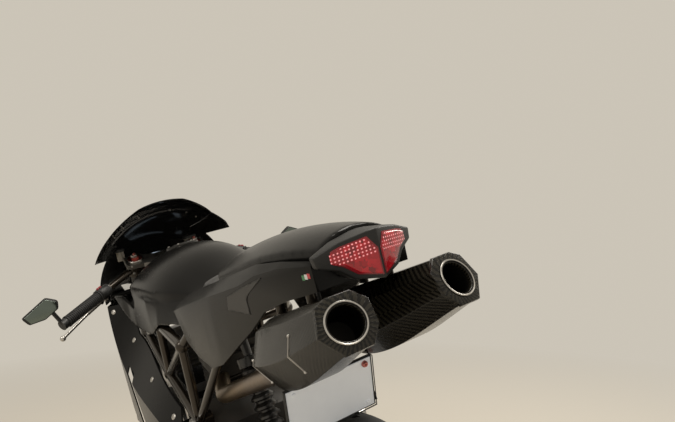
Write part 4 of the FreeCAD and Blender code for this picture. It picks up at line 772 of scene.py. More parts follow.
def band(node, spot, facing, width, lift):
    """A strip round a node between two near planes, standing proud of it."""
    strip = copy_of(node)
    facing = Vector(facing).normalized()
    slice_off(strip, Vector(spot) + facing * width / 2, facing)
    slice_off(strip, Vector(spot) - facing * width / 2, -facing)
    return modify(strip, "SOLIDIFY", thickness=lift, offset=1.0)


def bolt(radius, height, sides=16):
    """A socket-head bolt that stands up along z."""
    return lathe([
        (radius * 1.25, 0), (radius * 1.25, height * 0.2), (radius, height * 0.25), (radius, height * 0.85),
        (radius * 0.88, height), (radius * 0.52, height), (radius * 0.48, height * 0.45),
    ], sides)


def on_both_sides(places):
    """The same places and their mirror images across the middle of the bike."""
    flip = Matrix.Diagonal((1, -1, 1, 1))
    return list(places) + [flip @ place for place in places]


def ring_of(centre, across, radius, count, shift=0.0):
    """Places round a centre, in the plane of x and z, which look to the left or the right."""
    places = []
    for number in range(count):
        angle = 2 * math.pi * (number + shift) / count
        spot = Vector(centre) + Vector((radius * math.cos(angle), 0, radius * math.sin(angle)))
        places.append(aimed(spot, (0, across, 0)))
    return places


def looking_back(x):
    """A plane across the bike: drawn x is y, drawn y is z, and drawn z looks forward."""
    return Matrix(((0, 0, 1, x), (1, 0, 0, 0), (0, 1, 0, 0), (0, 0, 0, 1)))


# Operators


class BikeStep(bpy.types.Operator):
    """One step of the build."""

    bl_options = {"REGISTER", "UNDO"}

    @property
    def sizes(self):
        return bpy.context.scene.bike_sizes

    @property
    def colours(self):
        return bpy.context.scene.bike_colours


class BIKE_OT_stage(BikeStep):
    """Lay the pale floor, set the world and the soft lamps, and stand the camera"""

    bl_idname = "bike.stage"
    bl_label = "Stage, light and camera"

    def execute(self, context):
        self.lay_floor()
        self.light_world(context.scene)
        for name, spot, aim, side, power in (
            ("lamp_over", (-0.5, -0.5, 4.0), (-0.1, -0.1, 0.6), 1.5, 100.0),
            ("lamp_left", (-0.6, 3.4, 3.2), (-0.2, 0.0, 0.7), 1.3, 46.0),
            ("lamp_right", (0.6, -3.4, 3.0), (-0.1, 0.0, 0.6), 1.3, 40.0),
        ):
            self.hang_lamp(name, Vector(spot), Vector(aim), side, power)
        self.stand_camera(context.scene)
        return {"FINISHED"}

    def lay_floor(self):
        bpy.ops.mesh.primitive_plane_add(size=2 * self.sizes.floor_reach)
        floor = bpy.context.object
        floor.name = "stage_floor"
        give(floor, self.floor_finish())

    def floor_finish(self):
        """Pale paint that takes the bike's shadow and turns into the backdrop further out."""
        finish = Finish("stage_floor")
        x, y, _ = finish.parts(finish.place())
        far = finish.ramp(((x * x + y * y) ** 0.5) / 6.0, [(0.22, 0.0), (0.62, 1.0)])
        paint = finish.node("ShaderNodeBsdfDiffuse", {}, {"Color": (*self.colours.backdrop, 1)})
        glow = finish.node("ShaderNodeEmission", {}, {"Color": (*self.colours.backdrop, 1)})
        both = finish.node("ShaderNodeMixShader", {}, {0: far * finish.seen(), 1: paint, 2: glow})
        finish.node("ShaderNodeOutputMaterial", {}, {"Surface": both})
        return finish.material

    def light_world(self, scene):
        """Even warm light, in which the camera and the glosses see the backdrop."""
        scene.world = bpy.data.worlds.new("studio")
        studio = Finish("studio", scene.world)
        back = studio.node("ShaderNodeBackground", {}, {"Color": (*self.colours.backdrop, 1)})
        light = studio.node("ShaderNodeBackground", {}, {"Color": (1.0, 0.96, 0.90, 1), "Strength": 0.45})
        both = studio.node("ShaderNodeMixShader", {}, {0: studio.seen(), 1: light, 2: back})
        studio.node("ShaderNodeOutputWorld", {}, {"Surface": both})
        scene.view_settings.view_transform = "Standard"

    def hang_lamp(self, name, spot, aim, side, power):
        data = bpy.data.lights.new(name, "AREA")
        data.shape = "SQUARE"
        data.size = side
        data.energy = power
        data.color = (1.0, 0.95, 0.87)
        lamp = bpy.data.objects.new(name, data)
        lamp.location = spot
        lamp.rotation_euler = (aim - spot).to_track_quat("-Z", "Y").to_euler()
        bpy.context.scene.collection.objects.link(lamp)

    def stand_camera(self, scene):
        sizes = self.sizes
        data = bpy.data.cameras.new("camera")
        data.sensor_width = 36.0
        data.lens = sizes.camera_lens
        camera = bpy.data.objects.new("camera", data)
        stand = Matrix.Translation((sizes.camera_ahead, sizes.camera_left, sizes.camera_height))
        heading = Matrix.Rotation(sizes.camera_yaw - math.radians(90), 4, "Z")
        tilt = Matrix.Rotation(math.radians(90) + sizes.camera_pitch, 4, "X")
        camera.matrix_world = stand @ heading @ tilt @ Matrix.Rotation(sizes.camera_roll, 4, "Z")
        scene.collection.objects.link(camera)
        scene.camera = camera


class BIKE_OT_finishes(BikeStep):
    """Give every piece of the frame the finish of its slot"""

    bl_idname = "bike.finishes"
    bl_label = "Finishes"

    def execute(self, context):
        make_materials(self.colours)
        slots = {part["node"]: part["material_slot"] for part in frame["record"]["subparts"]}
        slots.update(clip_ons="frame_bronze", swingarm="cast_engine")
        for name, node in frame["nodes"].items():
            give(node, MATERIALS[slots[name]])
        return {"FINISHED"}


class BIKE_OT_bodywork(BikeStep):
    """Round the edges of the tank, tail, hump and silencers"""

    bl_idname = "bike.bodywork"
    bl_label = "Bodywork"

    def execute(self, context):
        for node, rounds in (("fuel_tank", 9), ("pillion_seat", 8)):
            self.skin(node, smoothed(copy_of(node), 0.004, rounds), "satin_black", 60)
        self.skin("tail_cowl", round_edges(copy_of("tail_cowl"), 0.0025, 3, 14), "satin_black", 30)
        for node in ("silencer_left", "silencer_right"):
            self.skin(node, round_edges(copy_of(node), 0.009, 4, 25), "carbon_can", 30)
        return {"FINISHED"}

    def skin(self, node, piece, material, angle):
        finished(piece, node + "_skin", material, angle=angle)
        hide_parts(node)


class BIKE_OT_seat(BikeStep):
    """Upholster the rider's seat"""

    bl_idname = "bike.seat"
    bl_label = "Rider's seat"

    # How far the cover may swell, under what pressure and for how many frames
    SWELL = 0.0045
    PRESSURE = 4.0
    FRAMES = 20

    def execute(self, context):
        pad = smoothed(copy_of("rider_seat"), 0.005, 14)
        modify(pad, "DISPLACE", strength=-0.003, mid_level=0.0)
        self.swell(pad, context.scene)
        modify(pad, "SUBSURF", levels=1)
        finished(pad, "rider_seat_pad", "seat_cover", angle=60)
        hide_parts("rider_seat")
        return {"FINISHED"}

    def swell(self, pad, scene):
        """Blows the cover up like foam under cloth, held back to a few millimetres."""
        before = [vertex.co.copy() for vertex in pad.data.vertices]
        select_only(pad)
        change = pad.modifiers.new("Cloth", "CLOTH")
        change.settings.use_pressure = True
        change.settings.uniform_pressure_force = self.PRESSURE
        change.settings.effector_weights.gravity = 0.0
        change.point_cache.frame_start = 1
        change.point_cache.frame_end = self.FRAMES
        for number in range(1, self.FRAMES + 1):
            scene.frame_set(number)
        bpy.ops.object.modifier_apply(modifier=change.name)
        scene.frame_set(1)
        for vertex, rest in zip(pad.data.vertices, before):
            move = vertex.co - rest
            if move.length > self.SWELL:
                vertex.co = rest + move.normalized() * self.SWELL
        modify(pad, "SMOOTH", factor=0.5, iterations=4)


# The tail lamp: its rearmost point, the sweep of its two faces, and half outlines, (y, z)
LAMP_TIP = -0.962
LAMP_SWEEP = 0.5
LENS = [
    (0.004, 0.934), (0.033, 0.943), (0.050, 0.959), (0.076, 0.967), (0.079, 0.976), (0.050, 0.985),
    (0.016, 0.991), (0.004, 0.971),
]
BEZEL = [
    (0, 0.926), (0.040, 0.934), (0.058, 0.951), (0.086, 0.962), (0.089, 0.980), (0.052, 0.994),
    (0.014, 1.001), (0, 1.002),
]
RIM = 0.0022


class BIKE_OT_tail_lamp(BikeStep):
    """Model the swept tail lamp: a black bezel and two clusters of red lens"""

    bl_idname = "bike.tail_lamp"
    bl_label = "Tail lamp"

    def swept(self, outline, tip, root):
        """A block across the tail's end whose rear is cut to the lamp's arrow shape."""
        piece = plate_of(outline, root - tip + 0.02)
        piece.matrix_world = looking_back(tip - 0.02)
        bake(piece)
        for side in (1, -1):
            slice_off(piece, (tip, 0, 0), Vector((-1, side * LAMP_SWEEP, 0)).normalized(), fill=True)
        edit(piece)
        close()
        return piece

    def execute(self, context):
        whole = BEZEL + [(-y, z) for y, z in BEZEL[-2:0:-1]]
        bezel = round_edges(self.swept(whole, LAMP_TIP, -0.903), 0.003, 3)
        finished(bezel, "tail_lamp_bezel", "black_plastic")
        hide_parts("tail_lamp_housing")
        lenses, rims = [], []
        grown = [(y + math.copysign(RIM, y - 0.03), z + math.copysign(RIM, z - 0.965)) for y, z in LENS]
        for side in (1, -1):
            inner, outer = ([(side * y, z) for y, z in outline] for outline in (LENS, grown))
            lenses.append(round_edges(self.swept(inner, LAMP_TIP - 0.0025, -0.93), 0.0015, 3))
            rims.append(round_edges(self.swept(outer, LAMP_TIP - 0.001, -0.93), 0.0008, 2))
        finished(joined(lenses), "tail_lamp_red_lenses", "lamp_red", angle=25)
        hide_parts("tail_lamp_lenses")
        finished(joined(rims), "tail_lamp_lens_rims", "lamp_rim", angle=25)
        return {"FINISHED"}


# The left silencer's outlet: its middle, radius, and how far it points up and out
OUTLET = Vector((-0.995, 0.100, 0.896))
OUTLET_RADIUS = 0.028
OUTLET_UP = math.radians(30)
OUTLET_OUT = math.radians(12)
OUTLET_AIM = Vector((
    -math.cos(OUTLET_UP) * math.cos(OUTLET_OUT), math.cos(OUTLET_UP) * math.sin(OUTLET_OUT),
    math.sin(OUTLET_UP),
))


class BIKE_OT_silencers(BikeStep):
    """Add the silencers' rolled ends, outlet rings, straps that also serve as painted highlights, and rivets"""

    bl_idname = "bike.silencers"
    bl_label = "Silencer fittings"

    def execute(self, context):
        for side, word in SIDES:
            node = "silencer_" + word
            flip = Vector((1, side, 1))
            spot, aim = OUTLET * flip, OUTLET_AIM * flip
            rim = round_edges(band(node, spot - aim * 0.0025, aim, 0.005, 0.0024), 0.0009, 2, 50)
            finished(rim, node + "_rolled_end", "carbon_can", angle=40)
            place = aimed(spot, aim)
            ring = self.turned([
                (-0.0005, -0.085), (0.0030, -0.084), (0.0032, 0.0018), (0.0018, 0.0034), (-0.0006, 0.0030),
                (-0.0012, 0.0010), (-0.0014, -0.080),
            ])
            finished(ring, node + "_outlet", "outlet_black", place=place, angle=40)
            lip = self.turned([(0.0022, 0.0020), (0.0034, 0.0030), (0.0024, 0.0042), (0.0008, 0.0036)])
            pick_faces(lip, lambda face: len(face.verts) > 4)
            bpy.ops.mesh.delete(type="FACE")
            bpy.ops.object.mode_set(mode="OBJECT")
            modify(lip, "SOLIDIFY", thickness=0.0008, offset=-1.0)
            finished(lip, node + "_outlet_lip", "bright_steel", place=place, angle=60)
            self.add_straps_and_painted_highlights(node, side)
        return {"FINISHED"}

    def turned(self, rings):
        """A lathed ring, whose radii are counted from the outlet's."""
        return lathe([(OUTLET_RADIUS + wider, height) for wider, height in rings], 64)

    def add_straps_and_painted_highlights(self, node, side):
        """Two bright steel strips across each can's outer side, which are straps and also painted highlights, with
        a rivet at each end.
        """
        lean, wide, reach = 0.1, 0.0030, 0.002
        for number, (x, high, low) in enumerate(((-0.889, 0.878, 0.815), (-0.712, 0.808, 0.756))):
            middle = Vector((x, 0, (high + low) / 2))
            # The bright strips are partly painted highlights: besides straps, they put bright bars of highlight on
            # the cans.
            strip = band(node, middle, (-1, 0, lean), wide, 0.0012)
            slice_off(strip, (0, 0, high), (0, 0, 1))
            slice_off(strip, (0, 0, low), (0, 0, -1))
            slice_off(strip, (0, side * 0.100, 0), (0, -side, 0))
            finished(strip, "%s_strip%d" % (node, number), "bright_steel", angle=40)
            places = [
                side_landing(node, side, x + (height - middle.z) * lean, height)
                for height in (high - reach, low + reach)
            ]
            rivet = lathe([(0.0026, 0), (0.0026, 0.0012), (0.0018, 0.0024), (0.0007, 0.0030)], 12)
            fitted(rivet, places, "%s_rivets%d" % (node, number), "bright_steel")


# The plate's middle, its lean, half its size, and how wide its border is
PLATE_PLACE = Matrix.Translation((-0.727, 0.029, 0.690)) @ Matrix.Rotation(math.radians(-14.6), 4, "Y")
PLATE_WIDE, PLATE_TALL = 0.089, 0.051
BORDER, BORDER_OUT = 0.0075, 0.004


class BIKE_OT_plate(BikeStep):
    """Add the plate's raised border and its screws"""

    bl_idname = "bike.plate"
    bl_label = "Number plate"

    def execute(self, context):
        across = looking_back(0) @ Matrix.Diagonal((1, 1, -1, 1))
        rear = PLATE_PLACE @ Matrix.Translation((-0.002, 0, 0)) @ across
        y, z = PLATE_WIDE - 0.014, PLATE_TALL - 0.009
        left_top, right_top, left_low, right_low = (
            rear @ Matrix.Translation(spot) for spot in ((y, z, 0), (-y, z, 0), (y, -z, 0), (-y, -z, 0))
        )
        head = lathe([(0.0048, 0), (0.0048, 0.0012), (0.0036, 0.0026), (0.0014, 0.0031)], 20)
        fitted(head, [left_top, left_low, right_low], "plate_screws", "plate_white")
        cap = lathe([(0.0062, 0), (0.0062, 0.004), (0.0046, 0.0062), (0.0020, 0.0062), (0.0018, 0.003)], 20)
        fitted(cap, [right_top], "plate_red_bolt", "fork_anodised")
        y, z = PLATE_WIDE + BORDER_OUT, PLATE_TALL + BORDER_OUT
        border = plate_of([(-y, -z), (y, -z), (y, z), (-y, z)], 0.0035)
        self.hollow(border)
        round_edges(border, 0.0008, 2)
        finished(border, "plate_border", "black_plastic", place=rear)
        return {"FINISHED"}

    def hollow(self, plate):
        """Turns a plate into a frame by an inset on both faces, and bridges what is between them."""
        pick_faces(plate, lambda face: abs(face.normal.z) > 0.9)
        bpy.ops.mesh.inset(thickness=BORDER, use_individual=True)
        bpy.ops.mesh.delete(type="FACE")
        bpy.ops.mesh.select_all(action="DESELECT")
        bpy.ops.mesh.select_mode(type="EDGE")
        bpy.ops.mesh.select_non_manifold()
        bpy.ops.mesh.bridge_edge_loops()
        bpy.ops.mesh.select_mode(type="VERT")
        close()


class BIKE_OT_tail_trim(BikeStep):
    """Add the tail's mesh vent and its small three-coloured sticker"""

    bl_idname = "bike.tail_trim"
    bl_label = "Tail trim"

    def execute(self, context):
        for side, word in SIDES:
            for number, shade in enumerate(("green", "white", "red")):
                place = side_landing("tail_cowl", side, -0.872 - number * 0.008, 0.948 + number * 0.0017)
                half = 0.004
                chip = plate_of([(-half, -half), (half, -half), (half, half), (-half, half)], 0.0004)
                round_edges(chip, 0.0001, 1)
                finished(chip, "sticker_%s%d" % (word, number), "sticker_" + shade, place=place)
            self.add_vent(side, word)
        return {"FINISHED"}

    def add_vent(self, side, word):
        """A patch of fine mesh laid on the tail's side."""
        outline = [
            (-0.560, 0.874), (-0.572, 0.900), (-0.640, 0.920), (-0.735, 0.944), (-0.655, 0.905),
            (-0.655, 0.872),
        ]
        patch = plate_of(outline, 0.001)
        modify(patch, "SUBSURF", levels=5, render_levels=5, subdivision_type="SIMPLE")
        patch.matrix_world = Matrix(((1, 0, 0, 0), (0, 0, -side, side * 0.30), (0, 1, 0, 0), (0, 0, 0, 1)))
        bake(patch)
        target = copy_of("tail_cowl")
        modify(patch, "SHRINKWRAP", target=target, wrap_method="PROJECT", use_project_y=True,
               use_positive_direction=side < 0, use_negative_direction=side > 0, offset=0.0)
        modify(patch, "SOLIDIFY", thickness=0.0012, offset=1.0)
        bpy.data.objects.remove(target)
        finished(patch, "tail_vent_" + word, "vent_mesh", angle=30)


# The fork's frame, on the front axle with z along the legs
FORK_UP = (UPRIGHT.to_3x3() @ joint_place("steer")[1]).normalized()
FORK_AHEAD = Vector((0, 1, 0)).cross(FORK_UP)
FORK = Matrix((FORK_AHEAD, Vector((0, 1, 0)), FORK_UP)).transposed().to_4x4()
FORK.translation = upright(FRONT_SPOT)
FORK_SIDE = 0.106
FORK_TOP = 0.712


class BIKE_OT_fork_tops(BikeStep):
    """Add the nuts and adjusters on the fork caps and the pinch bolts of yoke and clamps"""

    bl_idname = "bike.fork_tops"
    bl_label = "Fork tops"

    def execute(self, context):
        tops = [FORK @ Matrix.Translation((0, side * FORK_SIDE, FORK_TOP)) for side in (1, -1)]
        nut = lathe([(0.0112, 0), (0.0112, 0.0075), (0.0100, 0.0085), (0.0064, 0.0085),
                     (0.0060, 0.0065)], 6)
        fitted(nut, tops, "fork_cap_nuts", "bright_steel", "steering")
        knob = lathe([(0.0050, 0.0065), (0.0050, 0.0125), (0.0042, 0.0140), (0.0012, 0.0140),
                      (0.001, 0.012)], 20)
        fitted(knob, tops, "fork_adjusters", "fork_anodised", "steering")
        collar = lathe([(0.0236, -0.0118), (0.0262, -0.0116), (0.0262, -0.0075), (0.0248, -0.0062),
                        (0.0236, -0.0062)], 48, hollow=True)
        fitted(collar, tops, "fork_cap_collars", "bright_steel", "steering")
        places = []
        for side, _ in SIDES:
            for across, height in ((0.124, 0.693), (0.090, 0.668), (0.122, 0.668)):
                places.append(FORK @ aimed((-0.031, side * across, height), (-1, 0, 0)))
        fitted(bolt(0.0040, 0.0065, 12), places, "yoke_pinch_bolts", "bright_steel", "steering")
        return {"FINISHED"}


# The left bar's ends, its lever, and the grip
BAR_START = Vector((0.352, 0.253, 0.861))
BAR_END = Vector((0.285, 0.369, 0.822))
LEVER_PIVOT = Vector((0.404, 0.232, 0.842))
LEVER_KNEE = Vector((0.392, 0.296, 0.812))
GRIP_RADIUS = 0.0172


class BIKE_OT_controls(BikeStep):
    """Model the ribbed grips, switches, lever fittings and reservoir lids"""

    bl_idname = "bike.controls"
    bl_label = "Hand controls"

    def execute(self, context):
        along = on_both_sides([aimed(BAR_END, BAR_START - BAR_END)])
        grips = fitted(self.ribbed_grip(), along, "ribbed_grips", "grip_rubber", "steering", 50)
        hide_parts("grips")
        pod = lathe([(0.0170, 0.1400), (0.0202, 0.1408), (0.0218, 0.1440), (0.0218, 0.1640),
                     (0.0200, 0.1700), (0.0194, 0.1800), (0.0170, 0.1806)], 20, hollow=True)
        fitted(round_edges(pod, 0.001, 2), along, "switch_pods", "black_plastic", "steering")
        button = lathe([(0.0048, 0.019), (0.0048, 0.0235), (0.0038, 0.0250), (0.0016, 0.0252)], 16)
        buttons = [place @ Matrix.Translation((0, 0, height)) @ aimed((0, 0, 0), (0, 1, -0.1))
                   for place in along for height in (0.149, 0.159)]
        fitted(button, buttons, "switch_buttons", "lamp_rim", "steering")
        pivots = on_both_sides([aimed(LEVER_PIVOT + FORK_UP * 0.0098, FORK_UP)])
        fitted(bolt(0.0048, 0.0045), pivots, "lever_pivots", "bright_steel", "steering")
        wheels = on_both_sides([aimed(LEVER_PIVOT.lerp(LEVER_KNEE, 0.24), LEVER_KNEE - LEVER_PIVOT)])
        wheel = lathe([(0.0062, -0.0045), (0.0092, -0.0040), (0.0096, 0), (0.0092, 0.0040),
                       (0.0062, 0.0045)], 14)
        fitted(round_edges(wheel, 0.0004, 1), wheels, "lever_adjusters", "fork_gold", "steering")
        self.add_lids()
        return {"FINISHED"}

    def ribbed_grip(self):
        """A sleeve on the bar with rings all along it and a flange at the inner end."""
        first, pitch, count = 0.0095, 0.0062, 20
        rib, groove = GRIP_RADIUS + 0.0006, GRIP_RADIUS - 0.0009
        rings = [(0.0113, 0.002), (0.0160, 0.002), (0.0186, 0.0035), (0.0186, 0.0080)]
        for number in range(count):
            start = first + number * pitch
            rings += [(groove, start), (groove, start + 0.0014), (rib, start + 0.0021),
                      (rib, start + 0.0055)]
        rings += [(groove, 0.1338), (0.0208, 0.1346), (0.0208, 0.1382), (0.0150, 0.1395), (0.0113, 0.1395)]
        return lathe(rings, 32, hollow=True)

    def add_lids(self):
        """Ribbed screw lids on the two fluid cups, each with a small boss."""
        lids = []
        for spot, radius in (((0.472, 0.140, 0.974), 0.014), ((0.503, -0.113, 0.955), 0.022)):
            lid = lathe([(radius + 0.0024, -0.003), (radius + 0.0036, -0.002), (radius + 0.0036, 0.0055),
                         (radius + 0.0020, 0.0072), (radius * 0.62, 0.0072), (radius * 0.58, 0.0055),
                         (radius * 0.30, 0.0055), (radius * 0.26, 0.0085), (radius * 0.1, 0.0088)], 28)
            lid.matrix_world = Matrix.Translation(spot)
            bake(lid)
            lids.append(lid)
        finished(joined(lids), "reservoir_lids", "black_plastic", "steering", angle=25)


# The left mirror's outline: y and z
MIRROR = [(0.478, 0.874), (0.406, 0.913), (0.376, 0.896), (0.380, 0.872), (0.420, 0.852), (0.463, 0.850)]


class BIKE_OT_mirrors(BikeStep):
    """Round off the mirrors' shells and set their glass"""

    bl_idname = "bike.mirrors"
    bl_label = "Mirrors"

    def execute(self, context):
        middle = sum((Vector(spot) for spot in MIRROR), Vector((0, 0))) / len(MIRROR)
        for name, grown, thickness, x, finish, edge in (
            ("mirror_shells", 1.045, 0.0160, 0.2600, "black_plastic", 0.0028),
            ("mirror_glasses", 0.900, 0.0016, 0.2590, "mirror_glass", 0.0005),
        ):
            outline = [middle + (Vector(spot) - middle) * grown for spot in MIRROR]
            flat = modify(plate_of(outline, thickness), "BEVEL", width=0.014 * grown, segments=5,
                          limit_method="ANGLE", angle_limit=math.radians(31), affect="EDGES", profile=0.5)
            if edge > 0.001:
                round_edges(flat, edge, 3, 50)
            fitted(flat, on_both_sides([looking_back(x)]), name, finish, "steering", 40)
        return {"FINISHED"}


class BIKE_OT_chain(BikeStep):
    """Lay the drive chain link by link round both sprockets"""

    bl_idname = "bike.chain"
    bl_label = "Drive chain"

    # The front sprocket's middle, both pitch radii, the chain's y and the length of a link
    GEAR = Vector((-0.096, 0.340))
    GEAR_RADIUS = 0.036
    WHEEL_RADIUS = 0.098
    LINE = 0.154
    PITCH = 0.015875

    def execute(self, context):
        spots = self.link_places()
        outer = self.link(0.0066, 0.0018, 0.0025, 0.0090, 8)
        inner = self.link(0.0045, 0.0018, 0.0051, 0.0045, 10)
        links = joined([repeated(outer, spots[::2]), repeated(inner, spots[1::2])])
        finished(links, "chain_links", "chain_steel", angle=30)
        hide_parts("drive_chain")
        return {"FINISHED"}

    def link(self, inside, plate, pin, reach, sides):
        """Two waisted side plates with a pin or roller at each end."""
        half, end, waist = self.PITCH / 2, 0.0072, 0.0050
        outline = []
        for side in (1, -1):
            for step in range(7):
                angle = math.radians(-90 + 30 * step)
                x, y = end * math.cos(angle), end * math.sin(angle)
                outline.append((side * (half + x), side * y))
            outline.append((0, side * waist))
        lay = Matrix.Rotation(math.radians(90), 4, "X")
        places = [Matrix.Translation((0, low + plate, 0)) @ lay for low in (inside, -inside - plate)]
        plates = repeated(plate_of(outline, plate), places)
        pins = repeated(lathe([(pin, -reach), (pin, reach)], sides),
                        [Matrix.Translation((x, 0, 0)) @ lay for x in (half, -half)])
        return joined([plates, pins])

    def link_places(self):
        """A place for every link, from the loop that is tangent to both sprockets."""
        spot = upright(REAR_SPOT)
        wheel = Vector((spot.x, spot.z))
        between = self.GEAR - wheel
        tilt = math.atan2(between.y, between.x)
        smaller = self.WHEEL_RADIUS - self.GEAR_RADIUS
        spread = math.acos(smaller / between.length)
        run = math.sqrt(between.length ** 2 - smaller ** 2)
        front = 2 * spread * self.GEAR_RADIUS
        rear = (2 * math.pi - 2 * spread) * self.WHEEL_RADIUS
        total = front + rear + 2 * run
        count = 2 * round(total / self.PITCH / 2)
        places = []
        for number in range(count):
            way = total * number / count
            if way < front:
                point, heading = self.on_circle(self.GEAR, self.GEAR_RADIUS, tilt - spread, way)
            elif way < front + run:
                point, heading = self.on_run(wheel, tilt + spread, (way - front) / run, 1)
            elif way < front + run + rear:
                point, heading = self.on_circle(wheel, self.WHEEL_RADIUS, tilt + spread, way - front - run)
            else:
                point, heading = self.on_run(wheel, tilt - spread, (way - front - run - rear) / run, -1)
            turned = Matrix.Rotation(-heading, 4, "Y")
            places.append(Matrix.Translation((point.x, self.LINE, point.y)) @ turned)
        return places

    def on_circle(self, centre, radius, start, way):
        """A point so far round a sprocket, and the way it heads."""
        angle = start + way / radius
        return centre + radius * Vector((math.cos(angle), math.sin(angle))), angle + math.pi / 2

    def on_run(self, wheel, angle, share, order):
        """A point on a straight run between the sprockets, and the way it heads."""
        first, last = (
            self.on_circle(self.GEAR, self.GEAR_RADIUS, angle, 0)[0],
            self.on_circle(wheel, self.WHEEL_RADIUS, angle, 0)[0],
        )[::order]
        along = last - first
        return first.lerp(last, share), math.atan2(along.y, along.x)


class BIKE_OT_tyres(BikeStep):
    """Spin both tyres and cut their slanted grooves"""

    bl_idname = "bike.tyres"
    bl_label = "Tyres"

    # Steps round the tyre, and how many of them from groove to groove
    STEPS = 144
    EVERY = 9
    GROOVE = 0.0035

    def execute(self, context):
        for body, spot, radius, width, rim in (
            ("front_wheel", FRONT_SPOT, FRONT_RADIUS, 0.120, 0.089),
            ("rear_wheel", REAR_SPOT, REAR_RADIUS, 0.190, 0.152),
        ):
            node = body.replace("wheel", "tyre")
            tyre = self.spun_casing(radius, width / 2, rim / 2)
            self.cut_grooves(tyre, radius - width / 2)
            finished(tyre, node + "_grooved", "tyre_rubber", body, Matrix.Translation(upright(spot)), 28)
            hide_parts(node)
        return {"FINISHED"}

    def spun_casing(self, radius, crown, seat):
        """The casing's closed section, turned about the axle."""
        bead, flange, rows = 0.216, 0.230, 30
        section = [(bead, -seat), (flange, -seat)]
        for row in range(rows + 1):
            angle = math.radians(-75 + 150 * row / rows)
            section.append((radius - crown + crown * math.cos(angle), crown * math.sin(angle)))
        section += [(flange, seat), (bead, seat), (bead + 0.001, 0)]
        tyre = outline_of(section, "NOTHING")
        edit(tyre)
        bpy.ops.mesh.spin(steps=self.STEPS, angle=2 * math.pi, center=(0, 0, 0), axis=(0, 1, 0))
        bpy.ops.mesh.select_all(action="SELECT")
        bpy.ops.mesh.remove_doubles(threshold=0.00005)
        close()
        return tyre

    def cut_grooves(self, tyre, middle):
        """Sinks slanted rows of faces into the tread."""
        def in_groove(face):
            spot = face.calc_center_median()
            out = math.hypot(spot.x, spot.z)
            row = math.degrees(math.atan2(abs(spot.y), out - middle)) / 5
            step = math.atan2(spot.z, spot.x) / (2 * math.pi) * self.STEPS
            shift = self.EVERY // 2 if spot.y > 0 else 0
            slant = math.floor(step + 0.01) + math.floor(row * 0.7 + 0.01) + shift
            return out > middle and 1.2 < row < 10.6 and slant % self.EVERY == 0

        pick_faces(tyre, in_groove, "FACE")
        bpy.ops.mesh.extrude_region_shrink_fatten(TRANSFORM_OT_shrink_fatten={"value": -self.GROOVE})
        bpy.ops.mesh.select_mode(type="VERT")
        close()


class BIKE_OT_brakes(BikeStep):
    """Drill the brake discs and add the buttons that carry the front ones"""

    bl_idname = "bike.brakes"
    bl_label = "Brakes"

    def execute(self, context):
        for node, body, spot, rings, count in (
            ("front_discs", "front_wheel", FRONT_SPOT, (0.126, 0.1415, 0.157), 26),
            ("rear_disc", "rear_wheel", REAR_SPOT, (0.090, 0.1025, 0.115), 22),
        ):
            places = []
            for number, ring in enumerate(rings):
                places += ring_of(upright(spot), 1, ring, count, number / 3)
            drills = repeated(lathe([(0.0030, -0.12), (0.0030, 0.12)], 10), places)
            drilled = modify(
                copy_of(node), "BOOLEAN", object=drills, operation="DIFFERENCE", solver="EXACT"
            )
            bpy.data.objects.remove(drills)
            finished(drilled, node + "_drilled", "disc_steel", body, angle=30)
            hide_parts(node)
        places = []
        for side in (1, -1):
            places += ring_of(upright(FRONT_SPOT) + Vector((0, side * 0.0688, 0)), side, 0.117, 10)
        button = lathe([(0.0074, 0), (0.0074, 0.0014), (0.0060, 0.0024), (0.0040, 0.0024),
                        (0.0036, 0.001)], 18)
        fitted(button, places, "disc_buttons", "bright_steel", "front_wheel")
        return {"FINISHED"}


class BIKE_OT_engine_trim(BikeStep):
    """Add the bolts round the engine covers, the filler cap and the sight glass"""

    bl_idname = "bike.engine_trim"
    bl_label = "Engine fittings"

    # Each ring of bolts: its middle, its side, its radius and how many
    RINGS = [
        ((0.060, 0.144, 0.370), 1, 0.068, 8), ((-0.070, -0.152, 0.400), -1, 0.079, 10),
        ((0.060, 0.152, 0.370), 1, 0.040, 3), ((-0.070, -0.162, 0.400), -1, 0.052, 6),
    ]

    def execute(self, context):
        places = []
        for centre, side, ring, count in self.RINGS:
            places += ring_of(centre, side, ring, count, 0.5)
        fitted(bolt(0.0038, 0.0058, 12), places, "cover_bolts", "bright_steel")
        cap = lathe([(0.0165, 0), (0.0165, 0.003), (0.0140, 0.0045), (0.0140, 0.013), (0.0125, 0.0145),
                     (0.0060, 0.0145), (0.0055, 0.0125)], 12)
        filler = aimed((0.095, -0.118, 0.440), (0, -1, 0))
        finished(round_edges(cap, 0.0008, 2), "oil_filler_cap", "black_plastic", place=filler)
        glass = lathe([(0.0150, 0), (0.0150, 0.0022), (0.0135, 0.0030), (0.0105, 0.0030),
                       (0.0100, 0.0012)], 28)
        window = aimed((0.080, -0.118, 0.290), (0, -1, 0))
        finished(glass, "oil_sight_glass", "bright_steel", place=window)
        return {"FINISHED"}


